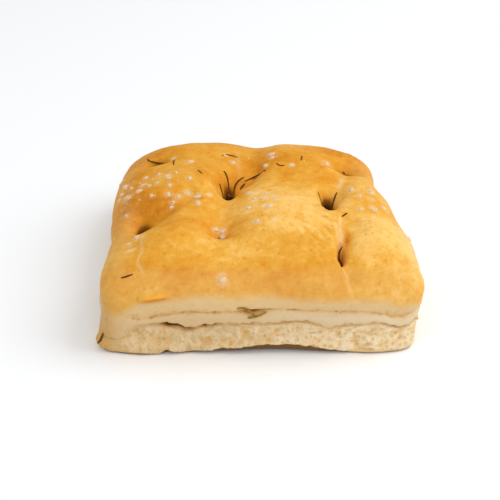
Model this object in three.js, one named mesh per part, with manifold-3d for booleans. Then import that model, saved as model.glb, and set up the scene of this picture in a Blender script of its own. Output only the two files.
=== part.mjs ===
// A small square focaccia, baked as one portion, about 124 mm across and 41 mm high.
// It is one solid: the dimpled loaf, with the coarse salt and the rosemary that lie on it fused to the crust.
// Millimetres, +Z up. The origin is the middle of the underside. The front, with the arched foot, faces -Y.
//
// The loaf is a closed surface on a square grid (a, b) in -1..1. The square's rings become rings of the
// plan, round in the middle and nearly square at the rim. The crust rolls down from the crown to the rim,
// the wall goes from there to the table, and the underside closes it.

import * as THREE from 'three';
import { mergeVertices } from 'three/addons/utils/BufferGeometryUtils.js';
import Module from 'manifold-3d';

// The loaf's outline and height
const HALF_WIDTH = 60;            // from the middle to the side, before the sides lean
const HALF_LENGTH = 62;           // from the middle to the front or the back
const WALL_TOP = 22;              // height where the wall ends and the crust begins to roll over
const CROWN = 37.8;               // height of the crown before its dimples and pillows
const SHOULDER = 34;              // how far in from the rim the crust rolls over
const SHOULDER_POWER = 2.1;       // 2 is an elliptic roll, more is fuller
const MIDDLE_POWER = 2.2;         // how square the plan's rings are: in the middle,
const FRONT_POWER = 17;           // at the front of the rim,
const BACK_LEFT_POWER = 4.8;      // at its back left corner
const BACK_RIGHT_POWER = 3.5;     // and at its back right corner

// The two side edges, as x at the front edge, how much they move in by the back edge, and their bulges
const RIGHT_EDGE = {
  front: 62.2,
  taper: -12.4,
  bulges: [[-26, 18, 1.8], [24, 13, -2.9], [42, 18, -1.0]],                  // y, width, rise
};
const LEFT_EDGE = {
  front: -60.0,
  taper: -2.2,
  bulges: [[10, 12, -1.1], [-17, 11, 1.4], [-42, 12, -1.6], [42, 14, 1.4]],
};
const BLUNT_CORNER = { x: 34, y: -20, reach: 26, length: 40, cut: 3.0 };   // the front right corner

// Dimples pressed by fingertips, as pits: x, y, depth, half width, half length to the front and to the back
const PITS = [
  [-13.0, 5.0, 9.5, 2.0, 5.0, 7.0],
  [-13.4, 9.0, 4.4, 5.0, 6.5, 9.0],
  [-6.5, 14.0, 2.0, 5.0, 3.5, 5.0],
  [27.0, -7.5, 9.5, 2.1, 5.6, 6.5],
  [27.2, -4.5, 4.8, 4.6, 6.5, 9.0],
  [-47.0, -20.5, 7.5, 1.8, 4.5, 4.6],
  [-45.8, -17.5, 5.5, 7.0, 9.0, 11.0],
  [-44.5, 30.5, 4.0, 5.0, 1.8, 3.8],
  [-46.0, 32.5, 2.2, 10.0, 5.0, 8.0],
  [36.0, 28.0, 3.4, 6.5, 1.8, 3.6],
  [36.0, 29.0, 2.6, 10.0, 5.0, 7.0],
  [-16.0, -30.0, 2.6, 2.6, 2.0, 3.0],
  [-16.0, -29.0, 3.0, 8.0, 6.0, 10.0],
  [-49.0, -37.0, 1.5, 4.0, 3.5, 4.0],
  [29.6, -45.0, 7.0, 1.5, 3.0, 6.5],
];

// The slot beside the front pillow: its places [y, x], where it is deepest, and how it fades to its ends.
// The grid lines near SLOT.line are drawn over to run along it.
const SLOT_PATH = [[-17.0, 30.4], [-30.0, 29.4], [-47.0, 28.1], [-51.0, 29.4], [-55.0, 30.8], [-60.0, 31.4]];
const SLOT = { line: 29.5, reach: 12, y: -36, ahead: 12, behind: 15 };
const SLOT_STEP = [3.4, 0.8, 7.0];    // depth, half width to the left and right: a step and a gentle slope

// Valleys between the pillows: x and y of each end, depth, half width to the left and to the right
const VALLEYS = [
  [37.0, 27.0, 30.0, 0.0, 2.5, 5.0, 5.0],
  [30.0, -5.0, 33.5, -20.0, 1.6, 2.5, 7.0],
  [-12.0, 8.0, -0.2, 21.3, 3.2, 5.0, 1.0],
  [-43.0, -18.0, -29.0, -3.0, 2.0, 7.0, 3.5],
  [29.6, -48.0, 32.6, -58.0, 1.3, 1.2, 4.0],
  [-14.0, 5.0, -16.0, -29.0, 2.5, 7.0, 7.0],
  [-7.0, 12.0, 0.0, 58.0, 3.0, 10.0, 8.0],
];

// Pillows that rose between the dimples: x, y, rise, radius across and along
const PILLOWS = [
  [10.0, -20.0, 3.2, 15.0, 19.0],
  [-32.0, -36.0, 2.6, 11.5, 13.0],
  [-34.0, 8.0, 2.5, 13.0, 13.0],
  [-28.0, 46.0, 1.3, 16.0, 12.0],
  [12.0, 34.0, 2.0, 18.0, 16.0],
  [27.0, 50.0, 0.9, 10.0, 8.0],
  [42.0, 42.0, 2.5, 10.0, 9.0],
  [46.0, 4.0, 2.0, 10.0, 14.0],
  [47.0, -34.0, 2.0, 9.0, 16.0],
];

// Two slow waves that keep the crust and the wall from being even: height, and radians to a mm in x, y and z
const CRUST_WAVES = [[0.35, 0.14, 0.09, 0], [0.3, -0.07, 0.17, 0]];
const WALL_WAVES = [[0.35, 0.12, 0.1, 0.15], [0.25, -0.21, 0.17, 0.3]];

// The wall has two splits that run round it. Their places along the way round are measured by
// SPLIT_TURN * y + x, which climbs from the front left corner and repeats after SPLIT_PERIOD.
const SPLIT_TURN = 0.9;
const SPLIT_START = 56;
const SPLIT_PERIOD = 128;
const UPPER_SPLIT = {
  level: 20.0,
  depth: 0.4,
  width: 0.6,
  rises: [[-45, 12, -3.4], [8, 16, 0.8], [54, 8, -3.9]],                     // place, width, rise
};
const LOWER_SPLIT = {
  level: 14.2,
  depth: 1.5,
  width: 0.7,
  rises: [[-54, 5.5, -7.2], [-26.5, 3.5, -2.7], [14, 8, 1.2], [25, 6, -2.2], [42, 6, 0.5], [55, 6, -3.2]],
};
const STEADY_LEVEL = 5;           // under this level the rows keep to the table and not to the splits
// The crumb under the lower split stands back: from this level, over this height, down to this level
const UNDERCUT = { top: 13.9, edge: 0.6, low: 2, foot: 6, depth: 1.1 };
const WHOLE_CORNER = { place: -59, width: 8, share: 0.95 };   // by this place on the way round it isn't torn
const LIP = { level: 17.0, rise: 0.45, width: 2.2 };   // the dough between the splits swells
const LEAN = { side: 4.2, back: 2.0, least: 0.3, height: 27, power: 1.3 };
const FOOT = { depth: 0.8, height: 1.2 };              // the lower edge is rounded
// The front foot arches up, by less than this rise: its foot, ARCH.flat high, is cut off level
const ARCH = { x: 8, left: 32, right: 21, rise: 1.2, y: -30, reach: 25, flat: 0.15 };
const TUCK = { depth: 2.2, height: 4.2, edge: 1 };     // under the arch the foot stands in
const NUB = { y: -57, z: 4.0, rise: 3.3, along: 5, height: 4.6 };  // a lump at the front left corner's foot
// The sole is flat inside a ring of nearly straight sides, a little hollow between its corners, and lifts
// a little from there to the edge
const SOLE = { lift: 0.3, share: 0.88, corners: 4, hollow: 0.012 };

// The grid
const CELLS = 40;                 // cells along each side of the top
const ARC_SHARE = 1.15;           // length of the rolled shoulder against the straight line across it
// Places where the crust is steep: x or y, half width, how much closer the lines stand
const CROWDED_ACROSS = [[-45, 6, 1.3], [-13, 5, 1.6], [26.5, 4, 0.8], [29.4, 2.5, 4.0]];
const CROWDED_ALONG = [[-29, 5, 1.3], [-11, 5, 0.9], [1, 5, 1.2], [-49, 4, 0.4], [30, 4, 0.8]];
const WALL_LEVELS = [20.8, 20, 19.2, 17, 15, 14.2, 13.4, 10, 5, 3, 1.2, 0];
const INNER_RING = 0.62;          // a ring inside the sole's edge, as a share of the foot's outline

// Coarse salt, in patches: x, y, radius across and along, turn in degrees, number of grains
const SALT_PATCHES = [
  [-39, 3, 20, 11, -38, 21],      // over the back left pillow, down to its dimple
  [-57, 12, 3.5, 22, 8, 8],       // along the left shoulder
  [-16, -25, 3, 3.5, 0, 3],       // in the small middle dimple
  [0, -13, 8, 16, 0, 8],          // on the middle pillow
  [43, -6, 8, 10, 0, 7],          // on the right pillow
  [58, -24, 2.5, 13, 0, 4],       // along the right shoulder
  [-2, 27, 38, 9, 0, 8],          // across the back
  [-49, -34, 3, 8, 0, 2],         // by the shallow left dimple
  [-15, -57, 1, 1, 0, 1],         // one by itself at the front
];
const GRAIN_SIZE = 3.6;           // across the largest grain
const GRAIN_SPREAD = 0.5;         // the smallest is this share smaller
const GRAIN_SINK = 0.17;          // how deep its middle lies under the crust, as a share of its size
const GOLDEN_ANGLE = 2.399963;

// Rosemary on the crust: x and y of the base, of the middle and of the tip
const NEEDLES = [
  [-49.1, 39.3, -47.6, 36.3, -41.9, 33.6],
  [-36.9, 30.7, -37.0, 26.5, -36.7, 22.4],
  [-16.5, 33.4, -14.1, 35.2, -9.9, 34.4],
  [-26.2, 14.9, -25.3, 13.4, -24.4, 11.8],
  [-15.5, 20.6, -13.8, 17.0, -13.3, 12.4],
  [-17.1, 12.6, -16.4, 10.8, -15.2, 8.8],
  [-7.0, 20.5, -10.4, 16.7, -11.0, 13.2],
  [2.2, 18.1, -1.8, 20.6, -6.5, 19.0],
  [-6.6, 18.0, -7.8, 16.6, -8.5, 15.4],
  [-14.0, 12.8, -12.9, 13.0, -11.8, 13.3],
  [6.7, 22.2, 8.0, 20.1, 10.0, 19.8],
  [17.6, 28.0, 17.5, 25.7, 16.9, 23.4],
  [32.3, 29.9, 32.3, 27.0, 32.5, 24.6],
  [35.7, 31.1, 36.1, 30.9, 36.5, 30.5],
  [23.3, 1.4, 24.0, -1.5, 25.3, -3.2],
  [31.3, 4.3, 30.1, 1.3, 29.1, -1.4],
  [26.4, 1.2, 26.1, 0.6, 25.8, -0.1],
  [34.1, -15.8, 33.2, -16.5, 31.9, -18.1],
  [30.8, -37.1, 29.4, -40.0, 30.2, -46.0],
  [-52.2, -54.8, -50.0, -54.6, -48.0, -54.0],
];
// Rosemary caught in the front wall: three places of x and level
const FRONT_NEEDLES = [
  [[-10.1, 21.6], [-7.2, 21.4], [-4.0, 18.3]],
  [[-6.4, 17.5], [-3.2, 17.9], [0.3, 19.0]],
];
// And at the foot of the front left corner: three places of a, b and level
const CORNER_NEEDLE = [[-1, -0.972, 14.9], [-1, -0.966, 7.6], [-1, -0.943, 3.4]];
const WALL_STAND_OFF = 0.25;      // how far those in the wall stand off it
const NEEDLE = { width: 0.95, thickness: 0.62, sides: 5, spans: 3, tip: 0.35 };
// A thin fold of crust over the front left shoulder: x and b of three places along it
const FLAP = { places: [[-46.2, -0.99], [-40.2, -0.985], [-34.2, -0.98]], width: 2.4, thickness: 1.1 };

const CRUST_COLOUR = 0xe8ae5c;

function smooth(t) {
  const k = THREE.MathUtils.clamp(t, 0, 1);
  return k * k * (3 - 2 * k);
}

function bump(t, at, width) {
  return Math.exp(-(((t - at) / width) ** 2));
}

// A bump with a width of its own on each side
function lopsided(t, before, after) {
  return bump(t, 0, t < 0 ? before : after);
}

// A bump that comes again after each period of the way round
function returningBump(t, at, width) {
  const turn = 2 * Math.PI / SPLIT_PERIOD;
  return Math.exp((Math.cos(turn * (t - at)) - 1) / (turn * width) ** 2 * 2);
}

// A share from 0 to 1 that looks random and is the same each time
function draw(seed, index) {
  const value = Math.sin(index * 12.9898 + seed * 78.233) * 43758.5453;
  return value - Math.floor(value);
}

function waves(list, x, y, z) {
  const wave = ([rise, kx, ky, kz]) => rise * Math.sin(kx * x + ky * y + kz * z + 100 * rise);
  return list.reduce((sum, row) => sum + wave(row), 0);
}

// The exponent of the superellipse that ring m of the plan follows
function squareness(m, a, b) {
  const back = a > 0 ? BACK_RIGHT_POWER : BACK_LEFT_POWER;
  const rim = THREE.MathUtils.lerp(FRONT_POWER, back, smooth((b / Math.max(m, 1e-6) + 1) / 2));
  return MIDDLE_POWER + (rim - MIDDLE_POWER) * m * m;
}

// Grid point (a, b) to its place in the plan, its ring m and the outward direction there
function plan(a, b) {
  const m = Math.max(Math.abs(a), Math.abs(b));
  if (m === 0) return { x: 0, y: 0, m, nx: 0, ny: 0 };
  const power = squareness(m, a, b);
  const across = Math.abs(a) / m;
  const along = Math.abs(b) / m;
  const shrink = (across ** power + along ** power) ** (-1 / power);
  const normal = new THREE.Vector2(Math.sign(a) * across ** (power - 1), Math.sign(b) * along ** (power - 1));
  normal.normalize();
  const { x, y } = leanPlan(a * shrink * HALF_WIDTH, b * shrink * HALF_LENGTH);
  const drawn = (pathX(SLOT_PATH, y) - SLOT.line) * bump(x, SLOT.line, SLOT.reach);
  return { x: x + drawn, y, m, nx: normal.x, ny: normal.y };
}

function edgeAt(edge, y) {
  const share = (y + HALF_WIDTH) / (2 * HALF_WIDTH);
  const straight = edge.front + edge.taper * share;
  return edge.bulges.reduce((x, [at, width, rise]) => x + rise * bump(y, at, width), straight);
}

// The plan's sides moved to where the loaf's side edges run
function leanPlan(x, y) {
  const right = edgeAt(RIGHT_EDGE, y);
  const left = edgeAt(LEFT_EDGE, y);
  const { x: cornerX, y: cornerY, reach, length, cut } = BLUNT_CORNER;
  const inCorner = smooth((x - cornerX) / reach) * smooth((cornerY - y) / length);
  return { x: (right + left) / 2 + x / HALF_WIDTH * (right - left) / 2, y: y + cut * inCorner };
}

// x of a path at y: its places [y, x] joined by level-ended steps
function pathX(path, y) {
  let [y0, x0] = path[0];
  let x = x0;
  for (const [y1, x1] of path.slice(1)) {
    x += (x1 - x0) * smooth((y - y0) / (y1 - y0));
    [y0, x0] = [y1, x1];
  }
  return x;
}

// Rise of the crust over the plain crown: pillows and waves, less valleys, the slot and dimples
function relief(x, y) {
  let rise = waves(CRUST_WAVES, x, y, 0);
  for (const [px, py, height, across, along] of PILLOWS) {
    rise += height * bump(x, px, across) * bump(y, py, along);
  }
  for (const [x0, y0, x1, y1, depth, left, right] of VALLEYS) {
    const dx = x1 - x0;
    const dy = y1 - y0;
    const t = THREE.MathUtils.clamp(((x - x0) * dx + (y - y0) * dy) / (dx * dx + dy * dy), 0, 1);
    const ox = x - x0 - t * dx;
    const oy = y - y0 - t * dy;
    const width = THREE.MathUtils.lerp(left, right, smooth(0.5 + ox / (left + right)));
    rise -= depth * bump(Math.hypot(ox, oy), 0, width);
  }
  const slotShare = lopsided(y - SLOT.y, SLOT.ahead, SLOT.behind);
  const [slotDepth, slotLeft, slotRight] = SLOT_STEP;
  rise -= slotDepth * slotShare * lopsided(x - pathX(SLOT_PATH, y), slotLeft, slotRight);
  for (const [px, py, depth, wide, front, back] of PITS) {
    rise -= depth * bump(x, px, wide) * lopsided(y - py, front, back);
  }
  return rise;
}

function wayRound(x, y) {
  return x + SPLIT_TURN * y + SPLIT_START;
}

function splitRise(split, x, y) {
  const place = wayRound(x, y);
  const riseOf = ([at, width, rise]) => rise * returningBump(place, at, width);
  return split.rises.reduce((sum, row) => sum + riseOf(row), 0);
}

// How far the underside lifts off the table by the middle of the front edge
function arch(x, y) {
  const rise = ARCH.rise * lopsided(x - ARCH.x, ARCH.left, ARCH.right);
  return Math.max(rise * smooth((ARCH.y - y) / ARCH.reach) - ARCH.flat, 0);
}

// Height of the wall row of a level: it follows the splits, and the arch at the foot
function wallHeight(level, x, y) {
  const lower = splitRise(LOWER_SPLIT, x, y);
  const upper = splitRise(UPPER_SPLIT, x, y);
  const { clamp, lerp, inverseLerp } = THREE.MathUtils;
  let shift = lower * clamp(inverseLerp(STEADY_LEVEL, LOWER_SPLIT.level, level), 0, 1);
  if (level > LOWER_SPLIT.level) {
    shift = lerp(lower, upper, inverseLerp(LOWER_SPLIT.level, UPPER_SPLIT.level, level));
  }
  if (level > UPPER_SPLIT.level) shift = lerp(upper, 0, inverseLerp(UPPER_SPLIT.level, WALL_TOP, level));
  const soleLift = SOLE.lift * clamp(1 - level / STEADY_LEVEL, 0, 1);
  const archLift = arch(x, y) * clamp(1 - level / LOWER_SPLIT.level, 0, 1);
  return level + shift + soleLift + archLift;
}

// How far the wall stands in from the outline at a level: it leans in to its foot and has two splits
function wallInset(level, x, y, z, nx, ny) {
  const most = LEAN.least + LEAN.side * Math.max(nx, 0) + LEAN.back * Math.max(ny, 0);
  let inset = most * Math.max(1 - z / LEAN.height, 0) ** LEAN.power;
  const { place, width: reach, share } = WHOLE_CORNER;
  const torn = 1 - share * returningBump(wayRound(x, y), place, reach);
  for (const { level: at, depth, width } of [UPPER_SPLIT, LOWER_SPLIT]) {
    inset += torn * depth * bump(level, at, width);
  }
  inset -= LIP.rise * bump(level, LIP.level, LIP.width);
  const { top, edge, low, foot } = UNDERCUT;
  inset += torn * UNDERCUT.depth * smooth((top - level) / edge) * smooth((level - low) / foot);
  const tuck = lopsided(x - ARCH.x, ARCH.left, ARCH.right) * Math.max(-ny, 0);
  inset += TUCK.depth * tuck * smooth((TUCK.height * tuck - level) / TUCK.edge);
  inset += FOOT.depth * bump(level, 0, FOOT.height) + waves(WALL_WAVES, x, y, z);
  return inset - NUB.rise * Math.max(-nx, 0) * bump(y, NUB.y, NUB.along) * bump(z, NUB.z, NUB.height);
}

// Point of the crust at (a, b)
function crustPoint(a, b) {
  const { x, y, m, nx, ny } = plan(a, b);
  const s = THREE.MathUtils.clamp((m * HALF_WIDTH - (HALF_WIDTH - SHOULDER)) / SHOULDER, 0, 1);
  const roll = (1 - s ** SHOULDER_POWER) ** (1 / SHOULDER_POWER);
  const z = WALL_TOP + (CROWN - WALL_TOP) * roll + relief(x, y) * smooth(roll / 0.75);
  const inset = wallInset(WALL_TOP, x, y, z, nx, ny) * smooth((m - 0.8) / 0.2);
  return new THREE.Vector3(x - nx * inset, y - ny * inset, z);
}

// Point of the wall below the rim's (a, b), at a level between the table and WALL_TOP
function wallPoint(a, b, level) {
  const { x, y, nx, ny } = plan(a, b);
  const z = wallHeight(level, x, y);
  const inset = wallInset(level, x, y, z, nx, ny);
  return new THREE.Vector3(x - nx * inset, y - ny * inset, z);
}

// Grid lines from -1 to 1, spaced along the crust's own arc and closer together where it is steep
function gridLines(crowded) {
  const flat = HALF_WIDTH - SHOULDER;
  const arc = ARC_SHARE * Math.hypot(SHOULDER, CROWN - WALL_TOP);
  const steps = 40 * CELLS;
  const fine = Array.from({ length: steps + 1 }, (_, k) => {
    const s = (flat + arc) * (2 * k / steps - 1);
    const beyond = Math.max(Math.abs(s) - flat, 0) / arc;
    return Math.sign(s) * (beyond > 0 ? flat + SHOULDER * Math.sin(beyond * Math.PI / 2) : Math.abs(s));
  });
  const total = [0];
  for (let k = 1; k <= steps; k += 1) {
    const near = crowded.reduce((sum, [at, width, closer]) => sum + closer * bump(fine[k], at, width), 0);
    total.push(total[k - 1] + 1 + near);
  }
  return Array.from({ length: CELLS + 1 }, (_, i) => {
    const k = total.findIndex((sum) => sum >= total[steps] * i / CELLS - 1e-9);
    return fine[k] / HALF_WIDTH;
  });
}

// The grid's corners in order round the rim, counter-clockwise from the front left
function rimWalk() {
  const walk = [];
  for (let i = 0; i < CELLS; i += 1) walk.push([i, 0]);
  for (let j = 0; j < CELLS; j += 1) walk.push([CELLS, j]);
  for (let i = CELLS; i > 0; i -= 1) walk.push([i, CELLS]);
  for (let j = CELLS; j > 0; j -= 1) walk.push([0, j]);
  return walk;
}

// The loaf's closed surface: crust, wall and underside on shared vertices
function loafGeometry() {
  const across = gridLines(CROWDED_ACROSS);
  const along = gridLines(CROWDED_ALONG);
  const walk = rimWalk();
  const points = [];
  const faces = [];
  for (const b of along) for (const a of across) points.push(crustPoint(a, b));
  for (let j = 0; j < CELLS; j += 1) {
    for (let i = 0; i < CELLS; i += 1) {
      const at = j * (CELLS + 1) + i;
      const next = at + CELLS + 1;
      faces.push(at, at + 1, next + 1, at, next + 1, next);
    }
  }
  let upper = walk.map(([i, j]) => j * (CELLS + 1) + i);
  const addRow = (row) => {
    const lower = row.map((_, k) => points.length + k);
    points.push(...row);
    for (let k = 0; k < lower.length; k += 1) {
      const next = (k + 1) % lower.length;
      faces.push(lower[k], lower[next], upper[next], lower[k], upper[next], upper[k]);
    }
    upper = lower;
  };
  for (const level of WALL_LEVELS) addRow(walk.map(([i, j]) => wallPoint(across[i], along[j], level)));
  const foot = upper.map((k) => points[k]);
  const onSole = ({ x, y }, share) => new THREE.Vector3(x * share, y * share, arch(x * share, y * share));
  const span = foot.length / SOLE.corners;
  addRow(foot.map((_, k) => {
    const corner = k - k % span;
    const t = (k - corner) / span;
    const place = foot[corner].clone().lerp(foot[(corner + span) % foot.length], t);
    return onSole(place, SOLE.share * (1 - SOLE.hollow * Math.sin(Math.PI * t)));
  }));
  addRow(foot.map((place) => onSole(place, INNER_RING)));
  points.push(new THREE.Vector3(0, 0, 0));
  for (let k = 0; k < upper.length; k += 1) {
    faces.push(points.length - 1, upper[(k + 1) % upper.length], upper[k]);
  }
  return new THREE.BufferGeometry().setFromPoints(points).setIndex(faces);
}

// The crust above place (x, y) in the plan: its point, its normal and its two tangents
function crustAt(x, y) {
  let a = x / HALF_WIDTH;
  let b = y / HALF_LENGTH;
  for (let step = 0; step < 30; step += 1) {
    const p = crustPoint(a, b);
    a = THREE.MathUtils.clamp(a + 0.8 * (x - p.x) / HALF_WIDTH, -1, 1);
    b = THREE.MathUtils.clamp(b + 0.8 * (y - p.y) / HALF_LENGTH, -1, 1);
  }
  const step = 0.01;
  const point = crustPoint(a, b);
  const across = crustPoint(a + step, b).sub(crustPoint(a - step, b)).normalize();
  const along = crustPoint(a, b + step).sub(crustPoint(a, b - step));
  const normal = across.clone().cross(along).normalize();
  return { point, normal, across, along: normal.clone().cross(across) };
}

// One grain of salt: a lumpy icosahedron, flatter than it is wide, sunk into the crust
function grainGeometry(x, y, size, seed) {
  const { point, normal, across, along } = crustAt(x, y);
  const grain = new THREE.IcosahedronGeometry(size / 2, 0);
  grain.scale(1, 0.75 + 0.25 * draw(seed, 1), 0.6 + 0.2 * draw(seed, 2));
  grain.rotateZ(2 * Math.PI * draw(seed, 3));
  grain.applyMatrix4(new THREE.Matrix4().makeBasis(across, along, normal));
  const middle = point.clone().addScaledVector(normal, -GRAIN_SINK * size);
  return grain.translate(middle.x, middle.y, middle.z);
}

// Every patch is a sunflower spiral of grains with a little disorder
function saltGeometries() {
  return SALT_PATCHES.flatMap(([x, y, across, along, degrees, count], patch) => {
    const turn = THREE.MathUtils.degToRad(degrees);
    return Array.from({ length: count }, (_, i) => {
      const seed = patch * 40 + i;
      const reach = Math.sqrt((i + 0.3) / count) * (0.85 + 0.3 * draw(seed, 4));
      const angle = GOLDEN_ANGLE * i + draw(seed, 5);
      const u = across * reach * Math.cos(angle);
      const v = along * reach * Math.sin(angle);
      const size = GRAIN_SIZE * (1 - GRAIN_SPREAD * draw(seed, 6));
      const grainX = x + u * Math.cos(turn) - v * Math.sin(turn);
      const grainY = y + u * Math.sin(turn) + v * Math.cos(turn);
      return grainGeometry(grainX, grainY, size, seed);
    });
  });
}

// A tapered strip with a few sides along a curve, flat against the surface whose normal is given
function stripGeometry(curve, normal, { width, thickness, sides, spans, tip }) {
  const points = [];
  const faces = [];
  for (let k = 0; k <= spans; k += 1) {
    const t = k / spans;
    const middle = curve.getPoint(t);
    const tangent = curve.getTangent(t);
    const side = normal.clone().cross(tangent).normalize();
    const up = tangent.clone().cross(side);
    const scale = tip + (1 - tip) * Math.sin(Math.PI * (0.15 + 0.7 * t));
    for (let i = 0; i < sides; i += 1) {
      const angle = 2 * Math.PI * i / sides;
      const rim = middle.clone().addScaledVector(side, 0.5 * width * scale * Math.cos(angle));
      points.push(rim.addScaledVector(up, 0.5 * thickness * scale * Math.sin(angle)));
    }
  }
  for (let k = 0; k < spans; k += 1) {
    for (let i = 0; i < sides; i += 1) {
      const near = k * sides + i;
      const next = k * sides + (i + 1) % sides;
      faces.push(near, next, next + sides, near, next + sides, near + sides);
    }
  }
  const last = spans * sides;
  for (let i = 1; i < sides - 1; i += 1) faces.push(0, i + 1, i, last, last + i, last + i + 1);
  return new THREE.BufferGeometry().setFromPoints(points).setIndex(faces);
}

// A needle that lies on the crust, and bridges a dimple where its ends stand on the rim
function crustNeedle([x0, y0, x1, y1, x2, y2]) {
  const ends = [crustAt(x0, y0), crustAt(x2, y2)];
  const lying = crustAt(x1, y1);
  const bridge = ends[0].point.clone().lerp(ends[1].point, 0.5);
  const middle = lying.point.clone();
  middle.z = Math.max(middle.z, 0.5 * (bridge.z + middle.z));
  const curve = new THREE.CatmullRomCurve3([ends[0].point, middle, ends[1].point]);
  const draped = curve.getPoints(NEEDLE.spans).map((place) => {
    const height = Math.max(place.z, crustAt(place.x, place.y).point.z);
    return new THREE.Vector3(place.x, place.y, height);
  });
  return stripGeometry(new THREE.CatmullRomCurve3(draped), lying.normal, NEEDLE);
}

// A needle caught in the wall, through three places of a, b and level
function wallNeedle(places) {
  const [, [middleA, middleB]] = places;
  const { nx, ny } = plan(middleA, middleB);
  const out = new THREE.Vector3(nx, ny, 0);
  const points = places.map(([a, b, level]) => wallPoint(a, b, level).addScaledVector(out, WALL_STAND_OFF));
  return stripGeometry(new THREE.CatmullRomCurve3(points), out, NEEDLE);
}

function wallNeedles() {
  const front = FRONT_NEEDLES.map((places) => places.map(([x, level]) => [x / HALF_WIDTH, -1, level]));
  return [...front, CORNER_NEEDLE].map(wallNeedle);
}

// A thin fold of crust that lies on the front shoulder
function flapGeometry() {
  const points = FLAP.places.map(([x, b]) => crustPoint(x / HALF_WIDTH, b));
  const facing = crustAt(points[1].x, points[1].y).normal;
  return stripGeometry(new THREE.CatmullRomCurve3(points), facing, { ...NEEDLE, ...FLAP });
}

const wasm = await Module();
wasm.setup();

// A closed geometry as a solid that can be joined to others
function solidOf(geometry) {
  const bare = geometry.clone();
  bare.deleteAttribute('normal');
  bare.deleteAttribute('uv');
  const merged = mergeVertices(bare, 1e-4);
  const vertProperties = new Float32Array(merged.attributes.position.array);
  const triVerts = new Uint32Array(merged.index.array);
  return new wasm.Manifold(new wasm.Mesh({ numProp: 3, vertProperties, triVerts }));
}

function geometryOf(solid) {
  const { vertProperties, triVerts } = solid.getMesh();
  const geometry = new THREE.BufferGeometry();
  geometry.setAttribute('position', new THREE.BufferAttribute(new Float32Array(vertProperties), 3));
  geometry.setIndex(new THREE.BufferAttribute(new Uint32Array(triVerts), 1));
  return geometry;
}

// The loaf with its toppings fused on, moved so that the origin is under the middle of the loaf
function focacciaGeometry() {
  const loaf = loafGeometry();
  loaf.computeBoundingBox();
  const middle = loaf.boundingBox.getCenter(new THREE.Vector3());
  const toppings = [...saltGeometries(), ...NEEDLES.map(crustNeedle), ...wallNeedles(), flapGeometry()];
  const whole = toppings.reduce((solid, topping) => solid.add(solidOf(topping)), solidOf(loaf));
  const geometry = geometryOf(whole).translate(-middle.x, -middle.y, 0);
  geometry.computeVertexNormals();
  return geometry;
}

const crust = new THREE.MeshStandardMaterial({ color: CRUST_COLOUR, roughness: 0.6, metalness: 0 });
const focaccia = new THREE.Mesh(focacciaGeometry(), crust);
focaccia.name = 'focaccia';

const group = new THREE.Group();
group.add(focaccia);

export default group;
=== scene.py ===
import itertools
import math

import bpy
import numpy as np
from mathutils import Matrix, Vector


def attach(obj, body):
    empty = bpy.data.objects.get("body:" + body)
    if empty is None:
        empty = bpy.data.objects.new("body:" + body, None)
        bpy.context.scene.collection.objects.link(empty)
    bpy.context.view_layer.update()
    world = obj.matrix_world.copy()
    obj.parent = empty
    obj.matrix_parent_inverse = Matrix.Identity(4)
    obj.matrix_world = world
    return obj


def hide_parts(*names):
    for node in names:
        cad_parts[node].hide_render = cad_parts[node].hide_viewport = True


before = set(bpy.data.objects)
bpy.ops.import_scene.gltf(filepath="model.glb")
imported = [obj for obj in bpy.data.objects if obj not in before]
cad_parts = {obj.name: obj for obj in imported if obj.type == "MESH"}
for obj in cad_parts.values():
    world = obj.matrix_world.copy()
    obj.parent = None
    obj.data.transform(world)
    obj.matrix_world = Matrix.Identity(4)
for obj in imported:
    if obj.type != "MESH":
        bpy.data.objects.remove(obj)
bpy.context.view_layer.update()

# The view: a long lens looks down on the front of the loaf from 31 degrees above the table,
# from a little under half a metre away, so that the back narrows only a little.
MM = 0.001                                    # the sizes below are in millimetres
VIEW_ELEVATION = math.radians(31.0)
VIEW_DISTANCE = 480.0
VIEW_TARGET = (-3.6, -13.9, 18.0)
SENSOR_WIDTH, LENS = 36.0, 85.3
NEAREST_SEEN = 10.0

camera_data = bpy.data.cameras.new("camera")
camera_data.sensor_width = SENSOR_WIDTH
camera_data.lens = LENS
camera_data.clip_start = NEAREST_SEEN * MM
camera = bpy.data.objects.new("camera", camera_data)
bpy.context.scene.collection.objects.link(camera)
camera.rotation_euler = (math.pi / 2 - VIEW_ELEVATION, 0.0, 0.0)
back_off = Vector((0.0, -math.cos(VIEW_ELEVATION), math.sin(VIEW_ELEVATION))) * VIEW_DISTANCE
camera.location = (Vector(VIEW_TARGET) + back_off) * MM
bpy.context.scene.camera = camera

# The loaf: one piece of baked dough. It was pressed flat in its tin, dimpled with the fingertips and
# baked, so pillows rise between the dimples, the crust rolls over to the sides, and the sides split.
HALF_WIDTH, HALF_LENGTH = 60.0, 62.0          # from the middle to the side, and to the front or back
WALL_TOP, CROWN = 22.0, 37.8                  # where the wall ends, and the crown before its relief
SHOULDER, SHOULDER_POWER = 34.0, 2.1          # how far in the crust rolls over, and how full the roll is
MIDDLE_POWER, FRONT_POWER = 2.2, 17.0         # how square the rings of the plan are
BACK_LEFT_POWER, BACK_RIGHT_POWER = 4.8, 3.5
RELIEF_FADE = 0.75                            # the relief dies away below this share of the roll's height
RIM_SHARE = 0.8                               # outside this share the crust leans as the wall does
TINY = 1e-9                                   # keeps a division from failing

# The side edges: x at the front, its change to the back, and bulges (y, half width, change of x)
RIGHT_EDGE = (62.2, -12.4, [(-26, 18, 1.8), (24, 13, -2.9), (42, 18, -1.0)])
LEFT_EDGE = (-60.0, -2.2, [(10, 12, -1.1), (-17, 11, 1.4), (-42, 12, -1.6), (42, 14, 1.4)])
# The front right corner is cut back: from which x and which y outwards, each with its reach, and how far
BLUNT_X, BLUNT_Y, BLUNT_CUT = (34.0, 26.0), (-20.0, -40.0), 3.0

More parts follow.
